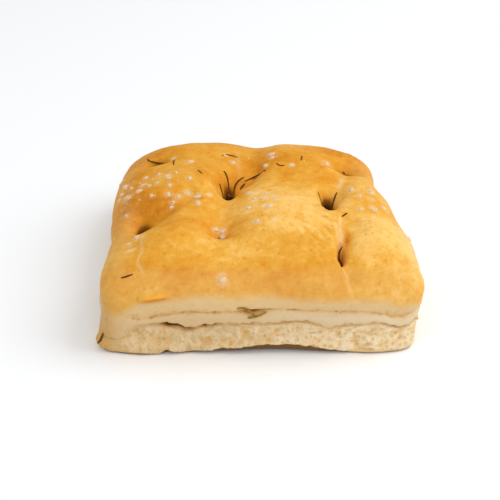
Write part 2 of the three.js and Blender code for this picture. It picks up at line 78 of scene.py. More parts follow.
# Dimples, as pits: x, y, depth, half width, half length to the front and to the back
PITS = [
    (-13.0, 5.0, 9.5, 2.0, 5.0, 7.0), (-13.4, 9.0, 4.4, 5.0, 6.5, 9.0), (-6.5, 14.0, 2.0, 5.0, 3.5, 5.0),
    (27.0, -7.5, 9.5, 2.1, 5.6, 6.5), (27.2, -4.5, 4.8, 4.6, 6.5, 9.0),
    (-47.0, -20.5, 7.5, 1.8, 4.5, 4.6), (-45.8, -17.5, 5.5, 7.0, 9.0, 11.0),
    (-44.5, 30.5, 4.0, 5.0, 1.8, 3.8), (-46.0, 32.5, 2.2, 10.0, 5.0, 8.0),
    (36.0, 28.0, 3.4, 6.5, 1.8, 3.6), (36.0, 29.0, 2.6, 10.0, 5.0, 7.0),
    (-16.0, -30.0, 2.6, 2.6, 2.0, 3.0), (-16.0, -29.0, 3.0, 8.0, 6.0, 10.0),
    (-49.0, -37.0, 1.5, 4.0, 3.5, 4.0),
    (29.6, -45.0, 7.0, 1.5, 3.0, 6.5),
]
# The slot beside the front pillow: its places (y, x), the straight line of the grid that is drawn over to
# it and how far around, and where it is deepest, with its reach to the front and to the back
SLOT_PATH = [(-17.0, 30.4), (-30.0, 29.4), (-47.0, 28.1), (-51.0, 29.4), (-55.0, 30.8), (-60.0, 31.4)]
SLOT = {"line": 29.5, "reach": 12.0, "y": -36.0, "ahead": 12.0, "behind": 15.0}
# Across, it is a step down to a gentle slope on its right, and its left lip hangs over it
SLOT_STEP = (3.4, 0.8, 7.0)                   # depth, half width to the left and to the right
OVERHANG = {"at": -0.6, "width": 0.7, "most": 1.2}
# Valleys: x and y of each end, depth, half width to the left and to the right
VALLEYS = [
    (37.0, 27.0, 30.0, 0.0, 2.5, 5.0, 5.0), (30.0, -5.0, 33.5, -20.0, 1.6, 2.5, 7.0),
    (-12.0, 8.0, -0.2, 21.3, 3.2, 5.0, 1.0), (-43.0, -18.0, -29.0, -3.0, 2.0, 7.0, 3.5),
    (29.6, -48.0, 32.6, -58.0, 1.3, 1.2, 4.0), (-14.0, 5.0, -16.0, -29.0, 2.5, 7.0, 7.0),
    (-7.0, 12.0, 0.0, 58.0, 3.0, 10.0, 8.0),
]
# Pillows: x, y, rise, radius across and along
PILLOWS = [
    (10.0, -20.0, 3.2, 15.0, 19.0), (-32.0, -36.0, 2.6, 11.5, 13.0), (-34.0, 8.0, 2.5, 13.0, 13.0),
    (-28.0, 46.0, 1.3, 16.0, 12.0), (12.0, 34.0, 2.0, 18.0, 16.0), (27.0, 50.0, 0.9, 10.0, 8.0),
    (42.0, 42.0, 2.5, 10.0, 9.0), (46.0, 4.0, 2.0, 10.0, 14.0), (47.0, -34.0, 2.0, 9.0, 16.0),
]
# Slow waves of the crust and of the wall: rise, and pace along x, y and z
CRUST_WAVES = [(0.35, 0.14, 0.09, 0.0), (0.3, -0.07, 0.17, 0.0)]
WALL_WAVES = [(0.35, 0.12, 0.1, 0.15), (0.25, -0.21, 0.17, 0.3)]

# A place on the wall's way round is x and a share of y, from a start, and the splits come again there
# after a period. Each split: level, depth, half width, and where it rises or falls (place, half width, rise)
WAY_SHARE, WAY_START, WAY_PERIOD = 0.9, 56.0, 128.0
UPPER_SPLIT = (20.0, 0.4, 0.6, [(-45, 12, -3.4), (8, 16, 0.8), (54, 8, -3.9)])
LOWER_SPLIT = (14.2, 1.5, 0.7, [(-54, 5.5, -7.2), (-26.5, 3.5, -2.7), (14, 8, 1.2), (25, 6, -2.2),
                                (42, 6, 0.5), (55, 6, -3.2)])
STEADY_LEVEL = 5.0                            # the rows below this level follow no split
WHOLE_CORNER = (-59.0, 8.0)                   # by this place the wall is not torn: place, half width
WHOLENESS = 0.95                              # the share of the splits' depth that is missing there
LIP = (17.0, 0.45, 2.2)                       # the dough between the splits swells: level, rise, half width
UNDERCUT, UNDERCUT_TOP, UNDERCUT_FOOT = 1.1, (13.9, -0.6), (2.0, 6.0)      # below the lower split
# The wall leans in to its foot: how far on the right, at the back and elsewhere, from which height down
LEAN = {"side": 4.2, "back": 2.0, "least": 0.3, "height": 27.0, "power": 1.3}
FOOT = (0.8, 1.2)                             # the foot is rounded: how far in, and its half height
SOLE_LIFT, SOLE_SHARE = 0.3, 0.88             # the sole is flat inside this share, and lifts at its edge
# The front of the sole arches off the table: its middle, half widths and rise, from which y forward it
# grows, with its reach, and what is taken off so that its ends lie flat
ARCH = {"x": 8.0, "left": 32.0, "right": 21.0, "rise": 1.2, "forward": (-30.0, -25.0), "flat": 0.15}
TUCK = (2.2, 4.2, 1.0)                        # under the arch the foot stands in: depth, height, edge
NUB = {"y": -57.0, "z": 4.0, "rise": 3.3, "along": 5.0, "height": 4.6}            # at the front left foot
# What the wall's finer rows add: gaps under the torn edge (place, half width, depth, height),
# the openings of the upper split, and the chip out of the lower edge (x, half width, rise)
GAPS = [(-30.5, 4.8, 4.0, 1.1), (-18.8, 2.4, 3.0, 0.8), (-6, 4.0, 0.8, 0.5), (12, 6, 0.9, 0.5),
        (52, 4, 1.4, 0.6)]
OPEN_SPLITS = [(-2.5, 4.5, 1.6, 1.0), (-24, 9, 0.4, 0.25)]
GAP_EDGE = 0.35                               # how sharply a gap ends at the torn edge above it
GAP_ABOVE, GAP_FADE = 0.5, 1.5                # where that edge is over the split, and the fade, in heights
CHIP, CHIP_TOP = (-36.0, 1.7, 1.9), 3.0
# The torn edges wander (rise, pace and start of each wave, and the level and half width of their band),
# and each split fades in and out (share of its depth at most, share less, pace, start)
TEAR_WAVES = [(0.3, 0.55, 0.0), (0.3, 1.3, 1.0), (0.15, 3.1, 2.0)]
TEAR_BAND = (16.5, 4.0)
FADING = [(UPPER_SPLIT, 0.8, 0.2, 0.31, 1.0), (LOWER_SPLIT, 0.7, 0.1, 0.43, 4.0)]


def smooth(t):
    """Rises from 0 to 1 with level ends as t goes from 0 to 1."""
    t = np.clip(t, 0.0, 1.0)
    return t * t * (3 - 2 * t)


def rising(value, start, reach):
    """Rises from 0 at a start to 1 a reach away, with level ends: upwards, or downwards if it is negative."""
    return smooth((value - start) / reach)


def bump(t, at, width):
    """A bell of height 1 at the given place."""
    return np.exp(-(((t - at) / width) ** 2))


def lopsided(t, before, after):
    """A bell of height 1 at 0, with a width of its own on each side."""
    return np.exp(-((t / np.where(t < 0, before, after)) ** 2))


def returning_bump(t, at, width):
    """A bell that comes again after each period of the way round: the exponential of a cosine."""
    turn = 2 * np.pi / WAY_PERIOD
    return np.exp((np.cos(turn * (t - at)) - 1) / (turn * width) ** 2 * 2)


def waves(table, x, y, z):
    """The sum of slow sine waves along slanted directions, each with a start of its own."""
    return sum(rise * np.sin(kx * x + ky * y + kz * z + 100 * rise) for rise, kx, ky, kz in table)


def plan(a, b):
    """Grid (a, b) to x, y, the ring m and the outward direction: square rings become superellipses whose
    power grows from the middle to the rim, and whose sides lean and bulge as the loaf's edges do. Near the
    slot the lines are drawn over to run along it."""
    m = np.maximum(np.abs(a), np.abs(b))
    safe = np.maximum(m, TINY)
    back = np.where(a > 0, BACK_RIGHT_POWER, BACK_LEFT_POWER)
    rim = FRONT_POWER + (back - FRONT_POWER) * smooth((b / safe + 1) / 2)
    power = MIDDLE_POWER + (rim - MIDDLE_POWER) * m**2
    across, along = np.abs(a) / safe, np.abs(b) / safe
    total = np.maximum(across**power + along**power, TINY)
    shrink = total ** (-1 / power)
    nx, ny = np.sign(a) * across ** (power - 1), np.sign(b) * along ** (power - 1)
    length = np.maximum(np.hypot(nx, ny), TINY)
    x, y = a * shrink * HALF_WIDTH, b * shrink * HALF_LENGTH
    right, left = edge_at(RIGHT_EDGE, y), edge_at(LEFT_EDGE, y)
    corner = rising(x, *BLUNT_X) * rising(y, *BLUNT_Y)
    x = (right + left) / 2 + x / HALF_WIDTH * (right - left) / 2
    y = y + BLUNT_CUT * corner
    x = x + (path_x(SLOT_PATH, y) - SLOT["line"]) * bump(x, SLOT["line"], SLOT["reach"])
    return x, y, m, nx / length, ny / length


def edge_at(edge, y):
    """x of a side edge at y: a straight taper with bells."""
    front, taper, bulges = edge
    share = (y + HALF_WIDTH) / (2 * HALF_WIDTH)
    return front + taper * share + sum(rise * bump(y, at, width) for at, width, rise in bulges)


def path_x(path, y):
    """x of a path at y: its places joined by level-ended steps."""
    x = path[0][1]
    for (y0, x0), (y1, x1) in zip(path, path[1:]):
        x = x + (x1 - x0) * smooth((y - y0) / (y1 - y0))
    return x


def slot_share(y):
    """How much of its full depth the slot has at y: a lopsided bell."""
    return lopsided(y - SLOT["y"], SLOT["ahead"], SLOT["behind"])


def relief(x, y):
    """Rise over the plain crown: waves and pillows, less valleys, the slot and dimples."""
    rise = waves(CRUST_WAVES, x, y, 0.0)
    for px, py, height, wide, long in PILLOWS:
        rise = rise + height * bump(x, px, wide) * bump(y, py, long)
    for x0, y0, x1, y1, depth, left, right in VALLEYS:
        dx, dy = x1 - x0, y1 - y0
        t = np.clip(((x - x0) * dx + (y - y0) * dy) / (dx * dx + dy * dy), 0, 1)
        ox, oy = x - x0 - t * dx, y - y0 - t * dy
        width = left + (right - left) * smooth(0.5 + ox / (left + right))
        rise = rise - depth * bump(np.hypot(ox, oy), 0.0, width)
    depth, left, right = SLOT_STEP
    rise = rise - depth * slot_share(y) * lopsided(x - path_x(SLOT_PATH, y), left, right)
    return rise - pit_depth(x, y)


def pit_depth(x, y):
    """How deep the dimples are pressed in at a place: the sum of their bells."""
    return sum(depth * bump(x, px, wide) * lopsided(y - py, front, back)
               for px, py, depth, wide, front, back in PITS)


def way_round(x, y):
    """Place along the wall's way round: it grows with x and with a share of y."""
    return x + WAY_SHARE * y + WAY_START


def split_rise(split, x, y):
    """How much a split lies over its level at a place: the sum of its returning bells."""
    place = way_round(x, y)
    return sum(rise * returning_bump(place, at, width) for at, width, rise in split[3])


def arch(x, y):
    """How far the sole lifts off the table by the middle of the front edge: a bell that grows forward."""
    rise = ARCH["rise"] * lopsided(x - ARCH["x"], ARCH["left"], ARCH["right"])
    return np.maximum(rise * rising(y, *ARCH["forward"]) - ARCH["flat"], 0)


def wall_height(level, x, y):
    """Height of the wall row of a level: the rows follow the splits, and the arch at the foot."""
    lower, upper = split_rise(LOWER_SPLIT, x, y), split_rise(UPPER_SPLIT, x, y)
    low, high = LOWER_SPLIT[0], UPPER_SPLIT[0]
    shift = lower * np.clip((level - STEADY_LEVEL) / (low - STEADY_LEVEL), 0, 1)
    between = lower + (upper - lower) * (level - low) / (high - low)
    above = upper * (WALL_TOP - level) / (WALL_TOP - high)
    shift = np.where(level > high, above, np.where(level > low, between, shift))
    lift = SOLE_LIFT * np.clip(1 - level / STEADY_LEVEL, 0, 1)
    return level + shift + lift + arch(x, y) * np.clip(1 - level / low, 0, 1)


def wall_inset(level, x, y, z, nx, ny):
    """How far the wall stands in from the outline: the lean to the foot, plus the two splits, the undercut,
    the tuck, the rounded foot and slow waves, less the lip and the nub."""
    most = LEAN["least"] + LEAN["side"] * np.maximum(nx, 0) + LEAN["back"] * np.maximum(ny, 0)
    inset = most * np.maximum(1 - z / LEAN["height"], 0) ** LEAN["power"]
    whole = 1 - WHOLENESS * returning_bump(way_round(x, y), *WHOLE_CORNER)
    for at, depth, width, _ in (UPPER_SPLIT, LOWER_SPLIT):
        inset = inset + depth * bump(level, at, width) * whole
    inset = inset - LIP[1] * bump(level, LIP[0], LIP[2])
    inset = inset + UNDERCUT * rising(level, *UNDERCUT_TOP) * rising(level, *UNDERCUT_FOOT) * whole
    tuck = lopsided(x - ARCH["x"], ARCH["left"], ARCH["right"]) * np.maximum(-ny, 0)
    inset = inset + TUCK[0] * tuck * smooth((TUCK[1] * tuck - level) / TUCK[2])
    inset = inset + FOOT[0] * bump(level, 0.0, FOOT[1]) + waves(WALL_WAVES, x, y, z)
    nub = bump(y, NUB["y"], NUB["along"]) * bump(z, NUB["z"], NUB["height"])
    return inset - NUB["rise"] * np.maximum(-nx, 0) * nub


def crust(a, b):
    """The crust at (a, b): a flat crown that rolls down to the rim as a superellipse arc, plus the relief."""
    x, y, m, nx, ny = plan(a, b)
    s = np.clip((m * HALF_WIDTH - (HALF_WIDTH - SHOULDER)) / SHOULDER, 0, 1)
    roll = (1 - s**SHOULDER_POWER) ** (1 / SHOULDER_POWER)
    z = WALL_TOP + (CROWN - WALL_TOP) * roll + relief(x, y) * smooth(roll / RELIEF_FADE)
    inset = wall_inset(WALL_TOP, x, y, z, nx, ny) * rising(m, RIM_SHARE, 1 - RIM_SHARE)
    off_slot = x - path_x(SLOT_PATH, y)
    x = x + OVERHANG["most"] * slot_share(y) * bump(off_slot, OVERHANG["at"], OVERHANG["width"])
    return np.stack([x - nx * inset, y - ny * inset, z], -1)


def uneven(place, pace, start):
    """A share from 0 to 1 that rises and falls unevenly along the way round: three sines."""
    total = np.sin(pace * place + start) + np.sin(2.3 * pace * place + 2 * start) + np.sin(5.1 * pace * place)
    return np.clip(0.5 + 0.25 * total, 0, 1)


def gaps_inset(level, place):
    """The extra depth of the torn gaps: bells along the way round, cut off sharply at the torn edge."""
    inset = 0.0
    for split, table in ((LOWER_SPLIT, GAPS), (UPPER_SPLIT, OPEN_SPLITS)):
        for at, width, depth, height in table:
            below = rising(level, split[0] + GAP_ABOVE * height, -GAP_EDGE)
            below = below * bump(level, split[0], GAP_FADE * height)
            inset = inset + depth * returning_bump(place, at, width) * below
    return inset


def wall(a, b, level):
    """The wall below the rim's (a, b): the outline, moved in by the inset of its level, with finer tears."""
    x, y, _, nx, ny = plan(a, b)
    z = wall_height(level, x, y)
    place = way_round(x, y)
    wander = sum(rise * np.sin(pace * place + start) for rise, pace, start in TEAR_WAVES)
    torn = level + wander * bump(level, *TEAR_BAND)
    inset = wall_inset(torn, x, y, z, nx, ny) + gaps_inset(torn, place)
    for (at, depth, width, _), most, less, pace, start in FADING:
        inset = inset - (most * uneven(place, pace, start) - less) * depth * bump(torn, at, width)
    chip_at, chip_width, chip_rise = CHIP
    chip = chip_rise * bump(x, chip_at, chip_width) * smooth(-ny)
    z = z + chip * np.clip(1 - level / CHIP_TOP, 0, 1)
    return np.stack([x - nx * inset, y - ny * inset, z], -1)


CELLS = 206                                   # along each side of the top
STEPS_IN_CELL = 20                            # of the sum that spaces the grid's lines
ARC_SHARE = 1.15                              # length of the roll's arc to its chord
# Places where the crust is steep: x or y, half width, how much closer the lines stand
CROWDED_ACROSS = [(-45, 5, 0.8), (-13, 4.5, 1.2), (26.5, 4, 0.8), (29.4, 2.2, 3.0)]
CROWDED_ALONG = [(-29, 4, 0.9), (-11, 5, 0.6), (1, 5, 0.7), (-49, 4, 0.4), (30, 4, 0.5)]
# The wall's rows from its top down: to which level, in how many rows. Then the sole's rings, as shares
WALL_BANDS = [(21.0, 2), (18.9, 9), (15.6, 5), (12.6, 13), (1.2, 24), (0.0, 3)]
SOLE_RINGS = np.array([0.98, SOLE_SHARE, 0.7, 0.45, 0.2])


def grid_lines(crowded):
    """Lines from -1 to 1, spaced along the arc of the crust and closer together where it is steep: the
    running sum of their closeness, cut into equal steps."""
    flat = HALF_WIDTH - SHOULDER
    arc = ARC_SHARE * np.hypot(SHOULDER, CROWN - WALL_TOP)
    s = np.linspace(-flat - arc, flat + arc, STEPS_IN_CELL * CELLS + 1)
    beyond = np.maximum(np.abs(s) - flat, 0) / arc
    reach = np.where(beyond > 0, flat + SHOULDER * np.sin(beyond * np.pi / 2), np.abs(s)) * np.sign(s)
    weight = 1 + sum(closer * bump(reach, at, width) for at, width, closer in crowded)
    total = np.concatenate([[0.0], np.cumsum(weight[1:])])
    return np.interp(np.linspace(0, total[-1], CELLS + 1), total, reach) / HALF_WIDTH


across, along = grid_lines(CROWDED_ACROSS), grid_lines(CROWDED_ALONG)
top_points = crust(*np.meshgrid(across, along))
# The rim's corners in order: along the front, up the right side, along the back and down the left side
there, back_again = np.arange(CELLS), np.arange(CELLS, 0, -1)
walk_i = np.concatenate([there, np.full(CELLS, CELLS), back_again, np.zeros(CELLS, int)])
walk_j = np.roll(walk_i, CELLS)
bottoms = [bottom for bottom, _ in WALL_BANDS]
levels = np.concatenate([np.linspace(top, bottom, rows + 1)[1:]
                         for top, (bottom, rows) in zip([WALL_TOP] + bottoms, WALL_BANDS)])
wall_points = wall(across[walk_i][None], along[walk_j][None], levels[:, None])
sole_plan = wall_points[-1][None, :, :2] * SOLE_RINGS[:, None, None]
edge_lift = SOLE_LIFT * rising(SOLE_RINGS, SOLE_SHARE, 1 - SOLE_SHARE)
sole_height = arch(sole_plan[..., 0], sole_plan[..., 1]) + edge_lift[:, None]
sole_points = np.concatenate([sole_plan, sole_height[..., None]], -1)
sole_centre = np.zeros((1, 3))
points = np.concatenate([part.reshape(-1, 3) for part in (top_points, wall_points, sole_points, sole_centre)])

corner = np.arange(CELLS)[:, None] * (CELLS + 1) + np.arange(CELLS)[None]
top_faces = np.stack([corner, corner + 1, corner + CELLS + 2, corner + CELLS + 1], -1).reshape(-1, 4)
rows = len(levels) + len(SOLE_RINGS)
ring = 4 * CELLS
first = (CELLS + 1) ** 2                      # the number of the first point under the rim
row_start = np.concatenate([[walk_j * (CELLS + 1) + walk_i],
                            first + np.arange(rows)[:, None] * ring + np.arange(ring)[None]])
following = np.roll(row_start, -1, 1)
side_faces = np.stack([row_start[1:], following[1:], following[:-1], row_start[:-1]], -1).reshape(-1, 4)
fan = np.stack([np.full(ring, len(points) - 1), following[-1], row_start[-1]], -1)

loaf_middle = (points.min(0) + points.max(0)) / 2
loaf_middle[2] = 0.0


def mesh_object(name, vertices, quads, triangles=()):
    """A mesh object from whole arrays of corners, in millimetres, with smooth faces."""
    mesh = bpy.data.meshes.new(name)
    faces = np.asarray(quads).tolist() + np.asarray(triangles).tolist()
    mesh.from_pydata((vertices * MM).tolist(), [], faces)
    mesh.polygons.foreach_set("use_smooth", np.ones(len(faces), bool))
    mesh.update()
    piece = bpy.data.objects.new(name, mesh)
    bpy.context.scene.collection.objects.link(piece)
    return piece


loaf = mesh_object("loaf", points, np.concatenate([top_faces, side_faces]), fan)
normals = np.zeros(len(points) * 3)
loaf.data.vertex_normals.foreach_get("vector", normals)
normals = normals.reshape(-1, 3)

SCATTER = 43758.5453                          # a sine times this has decimals that look random
LATTICE_PACE = (127.1, 311.7, 74.7, 53.3)     # of that sine along the lattice's three ways, and for a seed


def scattered(angle):
    """A share from 0 to 1 that looks random and is the same each time: the decimals of a large sine."""
    value = np.sin(angle) * SCATTER
    return value - np.floor(value)


def lattice(i, j, k, seed):
    """A scattered share for each corner of a lattice."""
    return scattered(i * LATTICE_PACE[0] + j * LATTICE_PACE[1] + k * LATTICE_PACE[2] + seed * LATTICE_PACE[3])


def cloud(p, cell, seed):
    """Smooth noise from -1 to 1: shares at lattice corners a cell apart, blended across each cell."""
    base = np.floor(p / cell)
    f = smooth(p / cell - base)
    value = 0.0
    for di, dj, dk in itertools.product((0, 1), repeat=3):
        weight = np.abs(1 - di - f[:, 0]) * np.abs(1 - dj - f[:, 1]) * np.abs(1 - dk - f[:, 2])
        value = value + weight * lattice(base[:, 0] + di, base[:, 1] + dj, base[:, 2] + dk, seed)
    return 2 * value - 1


def clouds(p, table):
    """The sum of clouds: strength, cell and seed of each."""
    return sum(much * cloud(p, cell, seed) for much, cell, seed in table)


def bubbles(p, depth, fullness, radius, cell, seed):
    """The depth of round hollows, one scattered in each cell: it falls with the distance from the nearest
    centre, from full to none over a radius in cells, and the fullness moves that outwards."""
    q = p / cell
    base = np.floor(q)
    nearest = np.full(len(p), np.inf)
    for step in itertools.product((-1, 0, 1), repeat=3):
        c = base + step
        at = c + np.stack([lattice(*c.T, seed + s) for s in (1, 2, 3)], -1)
        nearest = np.minimum(nearest, np.linalg.norm(q - at, axis=1))
    return depth * smooth(fullness - nearest / radius)


def spot(p, x, y, wide, long, turn=0.0):
    """A soft oval patch on the crust: a bell of two widths, turned by an angle in degrees."""
    c, s = math.cos(math.radians(turn)), math.sin(math.radians(turn))
    dx, dy = p[:, 0] - x, p[:, 1] - y
    return np.exp(-(((dx * c + dy * s) / wide) ** 2) - ((dy * c - dx * s) / long) ** 2)


def spots(p, table):
    """The sum of soft patches: x, y, half width and length, turn and strength of each."""
    return sum(much * spot(p, *place_and_size) for *place_and_size, much in table)


xs, ys, zs = points.T
place = way_round(xs, ys)
on_side = np.arange(len(points)) >= first
level = np.zeros(len(points))
level[:first] = WALL_TOP
level[first:first + len(levels) * ring] = np.repeat(levels, ring)
whole = returning_bump(place, *WHOLE_CORNER)

# The golden crust pales below a height that rises and falls on the way round (place, half width, rise),
# with an uneven border (rise, cell, seed), and that is lower on the sides and the back than in front
PALE_HEIGHT, PALE_REACH = 27.4, 5.0
PALE_RISES = [(-57, 10, -8.0), (0, 24, 0.6), (56, 7, -3.6)]
PALE_CLOUDS = [(1.2, 12.0, 11), (0.5, 2.5, 12)]
LOWER_BEHIND, BEHIND_FRONT = 4.0, (-56.0, 14.0)
SHOULDER_PALE, SHOULDER_TOP = 0.16, (36.0, -5.0)             # the shoulder is faintly paler as well
PALE_RIM = (0.76, 0.14)                       # on the top, both fade in from this share of the plan outwards
pale_height = PALE_HEIGHT + sum(rise * returning_bump(place, at, width) for at, width, rise in PALE_RISES)
pale_height = pale_height + clouds(points, PALE_CLOUDS) - LOWER_BEHIND * rising(ys, *BEHIND_FRONT)
crumb = rising(zs, pale_height, -PALE_REACH) + SHOULDER_PALE * rising(zs, *SHOULDER_TOP)
crumb[:first] *= rising(np.maximum(np.abs(across)[None], np.abs(along)[:, None]).ravel(), *PALE_RIM)
crumb = np.clip(crumb, 0, 1)

# The sole is browned, and shows at the foot up to a level; in the recess under the arch that brown
# reaches higher, as painted shade
SOLE_TOP, SOLE_BLEND, SOLE_CLOUD = 0.7, 0.8, (0.4, 3.0, 13)
RECESS_FRONT, RECESS_LESS = (-52.0, -6.0), 0.2
recess_shade = lopsided(xs - ARCH["x"], ARCH["left"], ARCH["right"]) * rising(ys, *RECESS_FRONT)
sole_top = np.maximum(SOLE_TOP, TUCK[1] * recess_shade - RECESS_LESS) + clouds(points, [SOLE_CLOUD])
sole = rising(level, sole_top, -SOLE_BLEND) * on_side
sole[first + len(levels) * ring:] = 1.0

# The skin of the crust is faintly uneven (rise, cell, seed), wrinkled on the right of the front pillow,
# and blistered at the back of it: x, y, half width and length, turn, strength
SKIN = [(0.14, 6.0, 1), (0.08, 2.6, 2), (0.03, 1.3, 3)]
WRINKLED, WRINKLE_CLOUD, WRINKLE_RISE = (21.0, -34.0, 10.0, 14.0), (1.0, 1.4, 7), 0.55
WRINKLE_SLANT = np.array([[0.9, 0.25, 0.0], [0.7, -0.3, 0.0], [0.0, 0.0, 1.0]])
BLISTERED = [(1.0, -8.0, 9.0, 5.0, 0, 1.0), (12.0, -16.0, 7.0, 5.0, 0, 0.7)]
BLISTER_CLOUD = (0.4, 2.2, 8)
wrinkles = spot(points, *WRINKLED) * clouds(points @ WRINKLE_SLANT, [WRINKLE_CLOUD])
blisters = spots(points, BLISTERED) * np.maximum(clouds(points, [BLISTER_CLOUD]), 0)
skin = clouds(points, SKIN) + WRINKLE_RISE * wrinkles + blisters

# A thin fold of crust lies over the front left shoulder, along a slanted line: its section is steep
# under the line and gentle over it, and it is golden on its top; its foot is browned and painted darker,
# as painted shade under the fold
FOLD = {"x": -40.4, "z": 25.2, "half": 6.2, "slope": 0.17, "rise": 2.2, "y": -50.0}
FOLD_UNDER, FOLD_OVER = 0.3, 1.5
FOLD_CLEARS, FOLD_BAND = 0.9, (0.5, 1.3)      # it takes the pale dough away around its top
# The fold's foot gets its browning and a painted shade under the fold
FOLD_FOOT = (-0.5, 0.5)                       # where it is browned
ON_FOLD_MUCH, ON_FOLD_AT, ON_FOLD_REACH = 0.8, 0.3, (0.4, 0.9)             # and where it is golden
over_fold = zs - FOLD["z"] - FOLD["slope"] * (xs - FOLD["x"])
along_fold = np.clip(1 - ((xs - FOLD["x"]) / FOLD["half"]) ** 2, 0, 1) * (ys < FOLD["y"])
crumb = crumb * (1 - FOLD_CLEARS * along_fold * bump(over_fold, *FOLD_BAND))
skin = skin + FOLD["rise"] * along_fold * lopsided(over_fold, FOLD_UNDER, FOLD_OVER)
under_fold = along_fold * bump(over_fold, *FOLD_FOOT)
on_fold = ON_FOLD_MUCH * along_fold * lopsided(over_fold - ON_FOLD_AT, *ON_FOLD_REACH)

# Left of the front left pillow the skin drew together in a thin crease (its places are y and x), with a
# soft edge on each side and ends that fade
CREASE_PATH = [(-33.0, -45.2), (-37.0, -45.6), (-43.5, -44.8), (-49.0, -46.1), (-54.0, -44.0)]
CREASE_WIDTH, CREASE_DEPTH, CREASE_EDGE = 0.4, 0.22, 0.088
CREASE_EDGE_AT, CREASE_TINT = 2.4, 1.5        # where its edges stand and how far its colour goes, in widths
CREASE_BACK, CREASE_FRONT = (-32.0, -2.0), (-55.0, 2.0)
off_crease = xs - path_x(CREASE_PATH, ys)
ends = rising(ys, *CREASE_BACK) * rising(ys, *CREASE_FRONT)
skin = skin - CREASE_DEPTH * bump(off_crease, 0.0, CREASE_WIDTH) * ends
skin = skin + CREASE_EDGE * bump(np.abs(off_crease), CREASE_EDGE_AT * CREASE_WIDTH, CREASE_WIDTH) * ends
creased = bump(off_crease, 0.0, CREASE_TINT * CREASE_WIDTH) * ends

# The wall below the lower split is open crumb: lumps (rise, cell, seed) and round hollows (depth, fullness,
# radius, cell, seed), which are deepest on the front right. At the untorn corner the crumb is closed
CRUMB_TOP, CRUMB_FOOT, CLOSED_SHARE = (13.6, -1.2), (0.5, 1.2), 0.8
OPEN_LEAST, OPEN_FROM, OPEN_TO = 0.45, (-5.0, 50.0), (100.0, -30.0)        # places on the way round
FLATTENED, WARP, WARP_CELL, WARP_SEEDS = (0.8, 0.8, 1.4), 0.9, 2.4, (20, 28, 29)
BREAKING_CLOUD = (0.3, 1.1, 19)               # it breaks the round outlines of the hollows
LARGE_HOLLOWS, SMALL_HOLLOWS = (0.65, 1.25, 0.44, 3.1, 21), (0.4, 1.0, 0.42, 2.1, 24)
FLATTENED_LUMPS, LUMPS = [(0.42, 4.2, 4)], [(0.34, 2.1, 5), (0.18, 1.2, 6)]
LUMP_SHARE, LUMP_MORE = 1.1, 0.15             # of the lumps' rise, and how much more where the crumb is open
STREAKS, STREAK_STRETCH, STREAK_FOOT = [(0.35, 1.3, 40)], (1.0, 1.0, 0.3), (6.0, 4.0)
on_crumb = rising(level, *CRUMB_TOP) * rising(level, *CRUMB_FOOT) * (1 - CLOSED_SHARE * whole)
open_crumb = OPEN_LEAST + (1 - OPEN_LEAST) * rising(place, *OPEN_FROM) * rising(place, *OPEN_TO)
warp = np.stack([cloud(points, WARP_CELL, seed) for seed in WARP_SEEDS], -1)
flattened = points * FLATTENED + WARP * warp + clouds(points, [BREAKING_CLOUD])[:, None]
hollows = bubbles(flattened, *LARGE_HOLLOWS) * open_crumb + bubbles(flattened, *SMALL_HOLLOWS)
lumps = clouds(flattened, FLATTENED_LUMPS) + clouds(points, LUMPS)
lumps = lumps * (LUMP_SHARE + LUMP_MORE * open_crumb)
streaks = clouds(points * STREAK_STRETCH, STREAKS) * rising(level, *STREAK_FOOT)
lumps = lumps + streaks - hollows

# The lip above it is smooth dough, the upper split is a row of small pits, and the dough of the untorn
# corner is creased (rise, cell, seed)
LIP_CLOUD, CREASING_CLOUD, CREASING_STRETCH = (0.3, 5.0, 9), (0.7, 3.0, 37), (1.0, 1.0, 0.8)
SPLIT_PITS, PIT_STRETCH, PIT_DEPTH = (1.0, 1.0, 0.5, 1.4, 27), (0.7, 0.7, 1.0), 0.6
PIT_ROW, PIT_ROW_WIDTH = UPPER_SPLIT[0] + 0.1, 0.9
SKIN_ON_WALL = 0.3                            # how much of the skin's unevenness the wall keeps
on_lip = bump(level, LIP[0], LIP[2]) * on_side
pits = bubbles(points * PIT_STRETCH, *SPLIT_PITS) * bump(level, PIT_ROW, PIT_ROW_WIDTH) * on_side
creasing = clouds(points * CREASING_STRETCH, [CREASING_CLOUD]) * whole * on_side
push = skin * np.where(on_side, SKIN_ON_WALL, 1.0) + creasing + on_crumb * lumps
push = push + on_lip * clouds(points, [LIP_CLOUD]) - PIT_DEPTH * pits
points = points + normals * push[:, None]
points[:, 2] = np.maximum(points[:, 2], 0.0)
xs, ys, zs = points.T
loaf.data.vertices.foreach_set("co", ((points - loaf_middle) * MM).ravel())
loaf.data.update()
